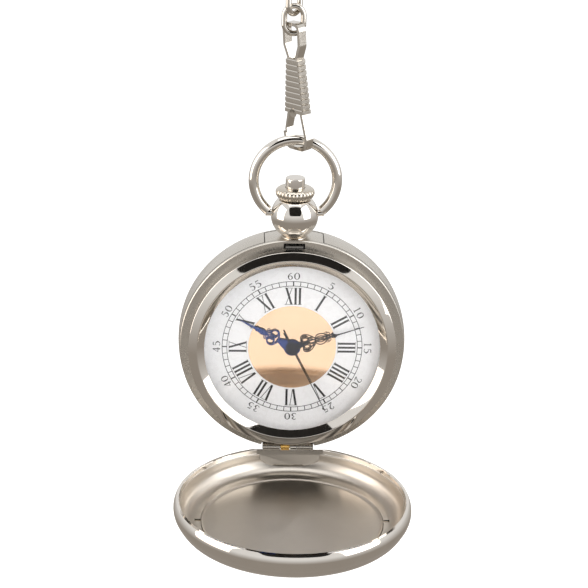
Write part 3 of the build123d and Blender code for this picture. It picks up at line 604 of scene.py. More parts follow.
# ---------------------------------------------------------------- case
@dataclass
class Case:
    """Case middle, bezel, glass and back."""

    bezel_r: float = 22.7
    crest_r: float = 20.8
    crest_y: float = -6.13
    front_y: float = -5.4
    glass_r: float = 19.25
    glass_edge_y: float = -4.85
    dome_y: float = -6.6
    glass_t: float = 0.9
    steps: int = 384

    def build_bezel(self) -> None:
        """Turned bezel: wall, sloping front, crest and inner slope down to the glass."""
        corners = [(22.25, -3.3, 0.0), (22.25, -4.65, 0.0), (20.35, -4.65, 0.0), (20.35, -4.9, 0.0),
                   (self.glass_r, -4.9, 0.0), (self.glass_r, self.glass_edge_y - 0.1, 0.05),
                   (self.crest_r, self.crest_y, 0.22), (self.bezel_r, self.front_y, 0.16), (self.bezel_r, -3.3, 0.05)]
        piece = Workpiece("bezel_ring")
        piece.lathe(rounded(corners, 8), self.steps)
        piece.build("case", "polished_nickel", [POLISHED_NICKEL], ["bezel"])

    def build_glass(self) -> None:
        """Domed glass with a ground rim."""
        inside = self.dome_y + self.glass_t
        front = cap((self.glass_r, -4.93), self.dome_y, 40)
        back = cap((self.glass_r, -4.03), inside, 40)
        profile = front + [(19.9, -4.9), (20.0, -4.86), (20.0, -4.04), (19.93, -4.0)] + back[::-1]
        piece = Workpiece("crystal_glass")
        piece.lathe(profile, 256)
        glass = piece.build("case", "crystal_glass", [GLASS], ["crystal"], 40.0)
        glass.visible_shadow = False

    def build_saddle(self) -> None:
        """Saddle under the pendant, flush with the back, in the back's cut-out."""
        crown = [(24.68, -2.38)] + arc((24.68, -2.38), (24.96, 0.8), (24.93, 3.2), 12)
        section = [(23.92, -2.38)] + crown + [(23.92, 3.2)]
        span = radians(14.7)
        rows = []
        for k in range(61):
            turn = span * (2 * k / 60 - 1)
            rows.append([(r * sin(turn), y, r * cos(turn)) for r, y in section])
        piece = Workpiece("pendant_saddle")
        piece.net(rows, ends=True)
        piece.build("case", "satin_nickel", [SATIN_CASE])

    def dress(self) -> None:
        """Finishes of the parts that keep their CAD shape."""
        dress(SATIN_CASE, "mid_case", "case_hinge_knuckles", "rear_cover")
        dress(NYLON_RING, "crystal_gasket")
        dress(RUBBER_RING, "back_gasket")
        dress(HARD_STEEL, "hinge_pin", "latch_spring", "latch_screw")
        dress(SPRING_BRASS, "hinge_spring")


# ---------------------------------------------------------------- front cover
@dataclass
class FrontCover:
    """Domed cover with its dished plate, drawn shut and turned open about the hinge."""

    rim_y: float = -3.32
    lip_r: float = 24.05
    rim_r: float = 24.8
    bulge_r: float = 25.285
    depth: float = 7.6
    wall: float = 0.7
    chord_z: float = -23.25
    plate_r: float = 19.4
    open_deg: float = 91.0
    hinge: Flat = (-3.1, -24.2)
    steps: int = 384

    def turn_open(self, piece: bpy.types.Object) -> None:
        """Turn a piece drawn shut to the open position."""
        pivot = metres((0.0, *self.hinge))
        turn = Matrix.Translation(pivot) @ Matrix.Rotation(radians(self.open_deg), 4, "X")
        piece.data.transform(turn @ Matrix.Translation(-pivot))
        piece.data.update()

    def build_shell(self) -> None:
        """Shell with its inner lip, seat and the straight wall at the hinge."""
        y = self.rim_y
        floor = y - self.depth
        outer = [(self.rim_r - 0.02, y - 0.1)]
        outer += arc((self.rim_r, y - 0.15), (self.bulge_r, y - 1.6), (24.6, y - 4.1), 18)
        outer += arc((24.6, y - 4.1), (23.2, y - 5.9), (20.8, y - 6.9), 16)
        outer += cap((20.8, y - 6.9), floor, 24)[::-1][1:]
        seat = self.plate_r + 0.1
        inner = cap((seat, y - 6.3), floor + self.wall, 12) + [(seat, y - 5.5), (seat + 0.06, y - 5.45)]
        inner += [(seat + 0.34, y - 5.45)]
        band = arc((seat + 0.4, y - 5.42), (22.9, y - 4.2), (23.8, y - 1.6), 26)
        lip = [(23.8, y - 1.15), (23.84, y - 1.08), (self.lip_r - 0.04, y - 1.0), (self.lip_r, y - 0.94),
               (self.lip_r, y - 0.08), (self.lip_r + 0.08, y)]
        rim = [(self.rim_r - 0.1, y)]
        profile = outer + inner + band + lip + rim
        zones = [0] * len(outer) + [1] * (len(inner) + len(band)) + [1, 1] + [0] * (len(lip) - 2 + len(rim))
        piece = Workpiece("front_cover_shell")
        piece.lathe(profile, self.steps, zones)
        made = piece.build("front_cover", "polished_nickel", [POLISHED_NICKEL, SATIN_COVER], ["front_cover"])
        carve(made, brick((-14, y - 12, -30), (14, y + 1, self.chord_z)), "DIFFERENCE")
        carve(made, self.hinge_wall(), "UNION")
        carve(made, brick((-2.6, y - 0.95, 23), (2.6, y - 0.35, 24.3)), "DIFFERENCE")
        for side in (-1, 1):
            carve(made, brick((side * 20.1 - 0.7, y - 6.1, -0.5), (side * 20.1 + 0.7, y - 4.9, 0.5)), "DIFFERENCE")
        self.turn_open(made)

    def hinge_wall(self) -> bpy.types.Object:
        """Straight wall that closes the cover's rim at the hinge."""
        y, thick = self.rim_y, 0.4
        reach = sqrt(24.4 ** 2 - self.chord_z ** 2)
        curve = [(24.6, y - 4.1)] + arc((24.6, y - 4.1), (23.2, y - 5.9), (20.8, y - 6.9), 30)
        rows = []
        for z in (self.chord_z, self.chord_z + thick):
            row = [(reach * (2 * k / 24 - 1), y - 0.02, z) for k in range(25)]
            for k in range(25):
                x = reach * (1 - 2 * k / 24)
                r = hypot(x, self.chord_z) - 0.15
                low = min(curve, key=lambda p: abs(p[0] - r))[1]
                row.append((x, low + 0.12, z))
            rows.append(row)
        wall = Workpiece("hinge_wall")
        wall.net(rows, ends=True)
        return wall.raw()

    def build_plate(self) -> None:
        """Dished plate with a raised edge, turned with fine rings."""
        y = self.rim_y
        front = cap((self.plate_r - 0.5, y - 5.6), y - 6.25, 60)
        back = cap((self.plate_r, y - 6.2), y - 6.85, 20)
        profile = front + [(self.plate_r - 0.25, y - 5.43), (self.plate_r - 0.06, y - 5.35),
                           (self.plate_r, y - 5.4)] + back[::-1]
        piece = Workpiece("front_cover_dish")
        piece.lathe(profile, self.steps)
        made = piece.build("front_cover", "cover_inside_satin", [SATIN_COVER], ["front_cover_plate"])
        self.turn_open(made)

    def dress(self) -> None:
        """Finishes of the parts that keep their CAD shape."""
        dress(POLISHED_NICKEL, "front_cover_knuckle")


# ---------------------------------------------------------------- dial
@dataclass
class Dial:
    """Enamel dial with printed minute track and numerals, and the centre disc."""

    face_y: float = -3.2
    print_t: float = 0.02
    track_out: float = 15.36
    track_in: float = 14.32
    line: float = 0.13
    roman_out: float = 13.86
    roman_in: float = 9.95
    bar: float = 0.46
    pitch: float = 0.93
    arabic_in: float = 15.72
    arabic_high: float = 1.62
    arabic_wide: float = 1.36

    def on_dial(self, turn: float) -> Callable[[float, float, float], Point]:
        """Place of (across, outwards, height) for a mark at an angle clockwise from twelve."""
        c, s = cos(turn), sin(turn)
        return lambda a, b, h: (a * c + b * s, self.face_y - h, b * c - a * s)

    def bar_mark(self, piece: Workpiece, turn: float, start: Flat, end: Flat, width: float) -> None:
        """Add a straight bar.

        Args:
            piece: the print.
            turn: the mark's angle.
            start: (across, outwards) of one end.
            end: the other end.
            width: the bar's width, across the dial's tangent.
        """
        half = width / 2
        outline = [(start[0] - half, start[1]), (start[0] + half, start[1]), (end[0] + half, end[1]),
                   (end[0] - half, end[1])]
        piece.sheet(outline, self.on_dial(turn), 0.0, self.print_t)

    def track(self, piece: Workpiece) -> None:
        """Two fine circles joined by sixty strokes."""
        for radius in (self.track_out, self.track_in):
            y = self.face_y
            piece.lathe([(radius, y), (radius, y - self.print_t), (radius - self.line, y - self.print_t),
                         (radius - self.line, y)], 240)
        for minute in range(60):
            width = 0.26 if minute % 5 == 0 else 0.15
            self.bar_mark(piece, radians(6 * minute), (0.0, self.track_in - self.line), (0.0, self.track_out), width)

    def roman(self, piece: Workpiece, text: str, turn: float) -> None:
        """Add a Roman numeral with its feet towards the centre.

        Args:
            piece: the print.
            text: the letters I, V and X.
            turn: the numeral's angle.
        """
        wide = {"I": self.pitch, "V": 2.0, "X": 1.95}
        low, high, hair = self.roman_in, self.roman_out, 0.13
        across = -sum(wide[letter] for letter in text) / 2
        for letter in text:
            left, right = across + 0.12, across + wide[letter] - 0.12
            middle = across + wide[letter] / 2
            if letter == "I":
                self.bar_mark(piece, turn, (middle, low), (middle, high), self.bar)
            elif letter == "V":
                self.bar_mark(piece, turn, (middle, low), (left + 0.26, high), self.bar)
                self.bar_mark(piece, turn, (middle + 0.16, low), (right - 0.2, high), hair)
            else:
                self.bar_mark(piece, turn, (right - 0.26, low), (left + 0.26, high), self.bar)
                self.bar_mark(piece, turn, (left + 0.2, low), (right - 0.2, high), hair)
            for edge in (low, high - 0.09):
                if letter == "V" and edge == low:
                    continue
                self.bar_mark(piece, turn, (middle, edge), (middle, edge + 0.09), wide[letter] - 0.1)
            across += wide[letter]

    def stroke(self, piece: Workpiece, turn: float, left: float, pen: Sequence[Point]) -> None:
        """Add one pen stroke of a figure.

        Args:
            piece: the print.
            turn: the figure's angle.
            left: the figure's left edge.
            pen: (across, up, width) points in the figure's box, smoothed between.
        """
        place = self.on_dial(turn)
        dense = spline(pen, 5)
        path = [place(left + a * self.arabic_wide, self.arabic_in + b * self.arabic_high, self.print_t / 2)
                for a, b, _ in dense]
        section = [(-0.5, -self.print_t / 2), (0.5, -self.print_t / 2), (0.5, self.print_t / 2),
                   (-0.5, self.print_t / 2)]
        piece.sweep(path, section, Vector((0, -1, 0)), False, [w * self.arabic_high for _, _, w in dense])

    def figure(self, piece: Workpiece, text: str, turn: float) -> None:
        """Add an Arabic minute figure with its feet towards the centre."""
        gap = 0.1
        left = -(len(text) * self.arabic_wide + (len(text) - 1) * gap) / 2
        for digit in text:
            for pen in FIGURES[digit]:
                self.stroke(piece, turn, left, pen)
            left += self.arabic_wide + gap

    def build_print(self) -> None:
        """Whole print as one piece."""
        piece = Workpiece("dial_print")
        self.track(piece)
        hours = ("XII", "I", "II", "III", "IIII", "V", "VI", "VII", "VIII", "IX", "X", "XI")
        for hour, text in enumerate(hours):
            self.roman(piece, text, radians(30 * hour))
            self.figure(piece, str(5 * hour or 60), radians(30 * hour))
        piece.build("case", "dial_enamel", [PAD_INK])

    def dress(self) -> None:
        """Finishes of the dial and its disc."""
        dress(DIAL_ENAMEL, "dial_plate")
        dress(ROSE_GOLD, "dial_center_disc")


# pen strokes of the old-style figures: (across, up, width) in shares of the figure's box
FIGURES: dict[str, tuple[tuple[Point, ...], ...]] = {
    "0": (((0.5, 0.98, 0.05), (0.8, 0.78, 0.13), (0.86, 0.5, 0.17), (0.8, 0.22, 0.13), (0.5, 0.02, 0.05),
           (0.2, 0.22, 0.13), (0.14, 0.5, 0.17), (0.2, 0.78, 0.13), (0.5, 0.98, 0.05)),),
    "1": (((0.5, 0.0, 0.14), (0.5, 1.0, 0.14)), ((0.28, 0.84, 0.05), (0.5, 0.99, 0.07)),
          ((0.24, 0.02, 0.05), (0.76, 0.02, 0.05))),
    "2": (((0.16, 0.74, 0.1), (0.24, 0.92, 0.08), (0.5, 0.97, 0.07), (0.76, 0.8, 0.15), (0.66, 0.5, 0.12),
           (0.36, 0.22, 0.07), (0.14, 0.04, 0.05)), ((0.14, 0.05, 0.1), (0.5, 0.06, 0.13), (0.86, 0.16, 0.06))),
    "3": (((0.18, 0.86, 0.07), (0.46, 0.97, 0.07), (0.74, 0.78, 0.14), (0.44, 0.54, 0.05)),
          ((0.44, 0.54, 0.05), (0.8, 0.28, 0.16), (0.5, 0.03, 0.06), (0.16, 0.16, 0.09))),
    "4": (((0.64, 0.0, 0.15), (0.64, 1.0, 0.15)), ((0.62, 0.98, 0.05), (0.12, 0.3, 0.06)),
          ((0.1, 0.3, 0.07), (0.9, 0.3, 0.07))),
    "5": (((0.26, 0.94, 0.12), (0.76, 0.95, 0.1)), ((0.28, 0.95, 0.05), (0.22, 0.56, 0.05)),
          ((0.22, 0.56, 0.05), (0.5, 0.62, 0.08), (0.82, 0.34, 0.17), (0.52, 0.03, 0.07), (0.16, 0.12, 0.09))),
    "6": (((0.76, 0.93, 0.07), (0.44, 0.84, 0.08), (0.18, 0.44, 0.15), (0.34, 0.08, 0.09), (0.56, 0.02, 0.06),
           (0.82, 0.28, 0.14), (0.56, 0.56, 0.06), (0.24, 0.4, 0.05)),),
}


def spline(knots: Sequence[Point], steps: int) -> list[Point]:
    """Smooth run through points, by Catmull and Rom's rule.

    Args:
        knots: the points to pass.
        steps: pieces between two of them.

    Returns:
        The dense points.
    """
    if len(knots) < 3:
        return list(knots)
    full = [knots[0], *knots, knots[-1]]
    out: list[Point] = []
    for i in range(1, len(full) - 2):
        p0, p1, p2, p3 = (Vector(full[i + k]) for k in (-1, 0, 1, 2))
        for k in range(steps):
            t = k / steps
            spot = 0.5 * (2 * p1 + (p2 - p0) * t + (2 * p0 - 5 * p1 + 4 * p2 - p3) * t ** 2
                          + (3 * p1 - p0 - 3 * p2 + p3) * t ** 3)
            out.append(tuple(spot))
    out.append(tuple(knots[-1]))
    return out


# ---------------------------------------------------------------- hands
@dataclass
class Hand:
    """Pierced and scrolled hand, cut from blued strip."""

    name: str
    node: str
    body: str
    back_y: float
    turn_deg: float
    thick: float = 0.09
    wire: float = 0.25
    steel: Metal = BLUED_STEEL
    piece: Workpiece = field(init=False)

    def __post_init__(self) -> None:
        """Start the mesh."""
        self.piece = Workpiece(self.name)

    def place(self, a: float, b: float, h: float) -> Point:
        """Place of (across, along, height) on the hand."""
        c, s = cos(radians(self.turn_deg)), sin(radians(self.turn_deg))
        return a * c + b * s, self.back_y - h, b * c - a * s

    def scroll(self, knots: Sequence[Flat], width: float | None = None, taper: float = 1.0,
               closed: bool = False) -> None:
        """Add a bent wire of flat strip.

        Args:
            knots: (across, along) points, smoothed between.
            width: the strip's width.
            taper: share of the width left at the far end.
            closed: whether the strip closes.
        """
        dense = spline([(a, b, 0.0) for a, b in knots], 5)
        if closed:
            dense = dense[:-1]
        path = [self.place(a, b, self.thick / 2) for a, b, _ in dense]
        wide = width or self.wire
        half, high = 0.5, self.thick / 2
        section = [(-half, -high), (half, -high), (half, high * 0.3), (half * 0.6, high), (-half * 0.6, high),
                   (-half, high * 0.3)]
        shares = [wide * (1 + (taper - 1) * k / (len(dense) - 1)) for k in range(len(dense))]
        self.piece.sweep(path, section, Vector((0, -1, 0)), closed, shares)

    def ring(self, centre: Flat, across: float, along: float, width: float | None = None) -> None:
        """Add an oval ring on one side of the hand."""
        points = [(centre[0] + across * cos(2 * pi * k / 12), centre[1] + along * sin(2 * pi * k / 12))
                  for k in range(13)]
        self.scroll(points, width, closed=True)

    def blade(self, half: Sequence[Flat]) -> None:
        """Add a solid symmetrical part with a raised spine.

        Args:
            half: (half width, along) points from the near end to the far end.
        """
        rows = []
        for wide, along in half:
            rim = self.thick * 0.55
            rows.append([self.place(-wide, along, 0), self.place(-wide, along, rim),
                         self.place(0, along, self.thick), self.place(wide, along, rim), self.place(wide, along, 0)])
        self.piece.net(rows, ends=True)

    def hub(self, radius: float, bore: float) -> None:
        """Add the boss with a rounded edge."""
        y = self.back_y
        corners = [(bore, y, 0.0), (radius, y, 0.0), (radius, y - self.thick, 0.05), (bore, y - self.thick, 0.0)]
        self.piece.lathe(rounded(corners, 4), 96)

    def finish(self) -> None:
        """Make the object."""
        self.piece.build(self.body, "blued_hands", [self.steel], [self.node], 25.0)


@dataclass
class Hands:
    """The three hands."""

    hour_y: float = -3.70
    minute_y: float = -3.93

    def build_hour(self) -> None:
        """Hour hand: trunk, two scrolled loops, leaf and blade."""
        hand = Hand("hour_hand_scrolled", "hour_hand", "hours", self.hour_y, 299.5)
        hand.hub(1.8, 0.93)
        hand.blade([(1.25, 1.2), (0.95, 2.2), (0.6, 3.0), (0.42, 3.5)])
        hand.blade([(0.75, 3.45), (0.8, 3.6), (0.4, 3.78)])
        for side in (-1, 1):
            hand.ring((side * 1.0, 4.95), 0.74, 0.8, 0.28)
            hand.scroll([(side * 0.3, 3.6), (side * 0.9, 3.75), (side * 1.5, 4.1), (side * 1.85, 4.7)], 0.3, 0.5)
            hand.scroll([(side * 0.25, 4.2), (side * 0.5, 5.0), (side * 0.35, 5.8), (0.0, 6.5)], 0.26)
            hand.scroll([(side * 1.3, 5.6), (side * 0.75, 6.2), (side * 0.3, 6.5)], 0.26)
            hand.scroll([(side * 0.9, 6.0), (side * 1.15, 6.45), (side * 0.8, 6.75), (side * 0.4, 6.6)], 0.2, 0.6)
        hand.ring((0.0, 5.0), 0.24, 0.5, 0.2)
        hand.blade([(0.2, 6.3), (0.5, 6.9), (0.66, 7.5), (0.5, 8.3), (0.42, 8.6), (0.55, 8.9), (0.3, 9.3),
                    (0.26, 9.9), (0.2, 11.4), (0.07, 13.1)])
        hand.finish()

    def build_minute(self) -> None:
        """Minute hand: a run of loops and ovals, a spear head and a long needle."""
        # the minute hand takes the darkened blued steel, a painted dark reflection
        hand = Hand("minute_hand_scrolled", "minute_hand", "minutes", self.minute_y, 71.5, wire=0.22,
                    steel=DARK_REFLECTION_BLUED_STEEL)
        hand.hub(1.5, 0.56)
        hand.blade([(0.8, 1.1), (0.45, 2.0), (0.3, 2.6)])
        for side in (-1, 1):
            hand.ring((side * 0.82, 3.2), 0.66, 0.72)
            hand.scroll([(side * 0.25, 2.5), (side * 1.25, 2.3), (side * 1.75, 3.0), (side * 1.5, 4.0),
                         (side * 0.75, 4.9), (side * 0.2, 5.4)], 0.24)
            hand.scroll([(side * 0.25, 3.9), (side * 0.75, 4.3), (side * 0.6, 5.0), (side * 0.1, 5.5)])
            hand.scroll([(side * 0.1, 5.3), (side * 0.7, 5.7), (side * 0.98, 6.5), (side * 0.7, 7.4), (0.0, 8.0)],
                        0.24)
            hand.scroll([(side * 0.15, 5.8), (side * 0.45, 6.5), (side * 0.1, 7.3)], 0.18)
            hand.ring((side * 0.42, 8.3), 0.32, 0.42, 0.18)
            hand.scroll([(side * 0.5, 7.6), (side * 0.95, 7.8), (side * 0.9, 8.3)], 0.18, 0.6)
        hand.scroll([(0.0, 2.5), (0.0, 5.6), (0.0, 9.0)], 0.22)
        hand.blade([(0.1, 8.7), (0.34, 9.2), (0.5, 9.7), (0.28, 10.1), (0.17, 10.4), (0.13, 12.0), (0.07, 16.4)])
        hand.finish()

    def dress(self) -> None:
        """Finish of the seconds hand."""
        # the seconds hand takes the darkened blued steel, a painted dark reflection
        dress(DARK_REFLECTION_BLUED_STEEL, "second_hand")


# ---------------------------------------------------------------- pendant
@dataclass
class Pendant:
    """Ball, bow, crown and button."""

    ball_r: float = 5.13
    ball_z: float = 29.4
    top_z: float = 33.0
    neck_r: float = 1.65
    flare_r: float = 2.9
    bow_z: float = 37.25
    bow_r: float = 8.95
    wire_r: float = 1.1
    bow_end_x: float = 5.8
    pivot_z: float = 29.9
    button_r: float = 2.1
    button_top: float = 37.9

    def build_ball(self) -> None:
        """Hollow ball on its flared neck."""
        reach = sqrt(self.ball_r ** 2 - (self.top_z - self.ball_z) ** 2)
        neck = sqrt(self.ball_r ** 2 - self.neck_r ** 2)
        side = arc((self.neck_r + 0.1, self.ball_z - neck), (self.ball_r, self.ball_z), (reach, self.top_z - 0.04), 60)
        profile = [(1.23, 23.4), (self.neck_r - 0.02, 23.4), (self.neck_r - 0.02, 24.35), (self.flare_r - 0.1, 24.4),
                   (self.flare_r, 24.5), (self.flare_r - 0.1, 24.72)]
        profile += arc((self.flare_r - 0.12, 24.75), (2.05, 24.85), (self.neck_r, 25.1), 8)
        profile += [(self.neck_r + 0.02, self.ball_z - neck - 0.03)] + side
        profile += [(reach - 0.08, self.top_z), (1.7, self.top_z), (1.7, 26.0), (1.23, 26.0)]
        piece = Workpiece("pendant_ball")
        piece.lathe_z(profile, 192)
        made = piece.build("case", "polished_nickel", [POLISHED_NICKEL], ["pendant"])
        carve(made, self.case_core(), "DIFFERENCE")

    def case_core(self) -> bpy.types.Object:
        """Cutting disc with the size of the case, which shapes the neck's foot."""
        tool = Workpiece("core")
        tool.lathe([(0.0, 9.0), (0.0, -9.0), (24.66, -9.0), (24.66, -2.41), (23.9, -2.41), (23.9, 9.0)], 256)
        made = tool.raw()
        weld(made.data)
        return made

    def build_bow(self) -> None:
        """Bow of round wire with its two pins."""
        drop = sqrt(self.bow_r ** 2 - self.bow_end_x ** 2)
        half = pi - Vector((0.0, -1.0)).angle(Vector((self.bow_end_x, -drop)))
        turns = [half * (2 * k / 120 - 1) for k in range(121)]
        path = [(self.bow_r * sin(a), 0.0, self.bow_z + self.bow_r * cos(a)) for a in turns]
        piece = Workpiece("bow_wire")
        piece.sweep(path, circle(self.wire_r, 40), Vector((0, 1, 0)), False)
        for side in (-1, 1):
            pin = [(side * (3.3 + 3.0 * k / 4), 0.0, self.pivot_z) for k in range(5)]
            piece.sweep(pin, circle(0.74, 24), Vector((0, 1, 0)), False)
        piece.build("bow", "polished_nickel", [POLISHED_NICKEL], ["bow"])

    def build_button(self) -> None:
        """Push button with a rounded edge and its rod."""
        corners = [(0.0, 25.5, 0.0), (0.45, 25.5, 0.0), (0.45, 35.45, 0.0), (self.button_r, 35.45, 0.05),
                   (self.button_r, self.button_top, 0.4), (0.0, self.button_top, 0.0)]
        piece = Workpiece("button_cap")
        piece.lathe_z(rounded(corners, 10), 96)
        piece.build("button", "polished_nickel", [POLISHED_NICKEL], ["crown_button"])

    def build_crown(self) -> None:
        """Full, fluted crown, hollow below for the tube and above for the button."""
        lobes, deep = 26, 0.045

        def ripple(turn: float, z: float) -> float:
            """Share of the radius, deepest half way up and none on the flat faces."""
            share = max(0.0, 1 - abs(z - 34.3) / 1.4)
            return 1 - deep * min(1.0, 1.6 * share) * (1 - abs(sin(lobes * turn / 2)))

        side = spline([(3.45, 33.27, 0.0), (3.95, 33.75, 0.0), (4.22, 34.45, 0.0), (4.1, 35.1, 0.0),
                       (3.55, 35.55, 0.0), (2.9, 35.69, 0.0)], 7)
        profile = [(1.75, 33.25), (3.4, 33.25)] + [(r, z) for r, z, _ in side]
        profile += [(2.2, 35.7), (2.16, 35.66), (2.16, 34.3), (0.73, 34.3), (0.73, 34.05), (1.75, 34.05)]
        piece = Workpiece("crown_fluted")
        piece.lathe_z(profile, 416, ripple)
        piece.build("crown", "satin_nickel", [TUMBLED_NICKEL], ["crown"], 40.0)

    def dress(self) -> None:
        """Finishes of the parts that keep their CAD shape."""
        dress(HARD_STEEL, "pendant_tube", "winding_stem", "button_collar", "button_pin", "button_washer")


# ---------------------------------------------------------------- clasp and chain
@dataclass
class ChainAndClasp:
    """Links of round wire, and the clasp's finishes."""

    wire_r: float = 0.6
    x: float = -1.07
    ring: tuple[float, float, float] = (5.2, 7.0, 72.1)
    link: tuple[float, float] = (5.0, 6.6)
    link_turn: float = 50.0

    def build_link(self, name: str, node: str, body: str, size: Flat, turn: float, z: float) -> None:
        """Oval link in a vertical plane.

        Args:
            name: the piece's name.
            node: the node that it replaces.
            body: the body that it rides on.
            size: width and height outside.
            turn: turn about the vertical, in degrees.
            z: height of its middle.
        """
        radius = size[0] / 2 - self.wire_r
        reach = size[1] / 2 - self.wire_r - radius
        c, s = cos(radians(turn)), sin(radians(turn))
        flat = [(radius * cos(pi * k / 40), reach + radius * sin(pi * k / 40)) for k in range(41)]
        flat += [(-radius * cos(pi * k / 40), -reach - radius * sin(pi * k / 40)) for k in range(41)]
        path = [(self.x + a * c, a * s, z + b) for a, b in flat]
        piece = Workpiece(name)
        piece.sweep(path, circle(self.wire_r, 32), Vector((s, -c, 0.0)), True)
        piece.build(body, "chain_nickel", [WIRE_NICKEL], [node])

    def build(self) -> None:
        """Ring and three links, from the clasp upwards."""
        self.build_link("ring_wire", "chain_ring", "ring", self.ring[:2], 0.0, self.ring[2])
        low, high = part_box("chain_link_1"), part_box("chain_link_3")
        for i, body in enumerate(("chain_low", "chain_middle", "chain_top")):
            box = (low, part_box("chain_link_2"), high)[i]
            z = ((box[0] + box[1]) / 2 - WATCH).z / MM
            turn = self.link_turn - 90 * (i % 2)
            self.build_link(f"link_wire_{i + 1}", f"chain_link_{i + 1}", body, self.link, turn, z)
        dress(WIRE_NICKEL, "clasp_body", "clasp_gate", "clasp_rivet")

    def on_clasp(self, across: float, deep: float, up: float) -> Point:
        """Place of a point of the leaning, turned clasp, from the middle of the bow's wire."""
        lean, turn = Matrix.Rotation(radians(-3.8), 3, "Y"), Matrix.Rotation(radians(-50.0), 3, "Z")
        spot = lean @ turn @ Vector((across, deep, up)) + Vector((0.6, 0.0, 46.2))
        return spot.x, spot.y, spot.z

    def build_sleeve(self) -> None:
        """Hollow tapered sleeve, ribbed all round, with its thumb tab."""
        low, high, count, half = 6.0, 17.9, 10, 1.25
        pitch = (high - low) / count

        def section(wide: float, deep: float, up: float) -> list[Point]:
            """One ring of the sleeve, a rectangle with its corners taken off."""
            cut = 0.22
            flat = [(wide - cut, -deep), (wide, cut - deep), (wide, deep - cut), (wide - cut, deep),
                    (cut - wide, deep), (-wide, deep - cut), (-wide, cut - deep), (cut - wide, -deep)]
            return [self.on_clasp(a, d, up) for a, d in flat]

        rows = []
        for i in range(count):
            foot = low + i * pitch
            wide = (5.9 - 2.3 * i / count) / 2
            rows += [section(wide, half, foot + 0.1), section(wide, half, foot + pitch - 0.34),
                     section(wide - 0.22, half - 0.12, foot + pitch - 0.2),
                     section(wide - 0.22, half - 0.12, foot + pitch)]
        rows += [section(1.48, 1.0, high), section(2.4, 1.0, low + 0.1)]
        piece = Workpiece("clasp_sleeve_ribbed")
        piece.net(rows, loop=True)
        piece.net([[self.on_clasp(a - 0.3, deep, low + 0.1 + b) for a, b in circle(0.95, 40)]
                   for deep in (-half, 0.25 - half)], ends=True)
        piece.build("clasp", "polished_nickel", [WIRE_NICKEL], ["clasp_sleeve"])


# ---------------------------------------------------------------- movement
@dataclass
class Movement:
    """Finishes of the quartz movement behind the dial."""

    plan: tuple[tuple[Finish, tuple[str, ...]], ...] = (
        (MOULDED_PLASTIC, ("movement_ring",)),
        (MOVEMENT_NICKEL, ("main_plate", "train_bridge", "battery_clamp", "setting_lever", "yoke", "stator")),
        (HARD_STEEL, ("movement_screws", "coil_core", "sliding_pinion", "quartz_can")),
        (CELL_STEEL, ("battery",)),
        (BOARD, ("circuit_board",)),
        (COPPER_WIRE, ("coil_winding",)),
        (WHEEL_BRASS, ("centre_wheel", "hour_wheel", "minute_wheel", "third_wheel", "fourth_wheel",
                       "intermediate_wheel", "setting_wheel")),
        (HARD_STEEL, ("motor_rotor",)),
    )

    def dress(self) -> None:
        """Give each part its finish."""
        for finish, nodes in self.plan:
            dress(finish, *nodes)


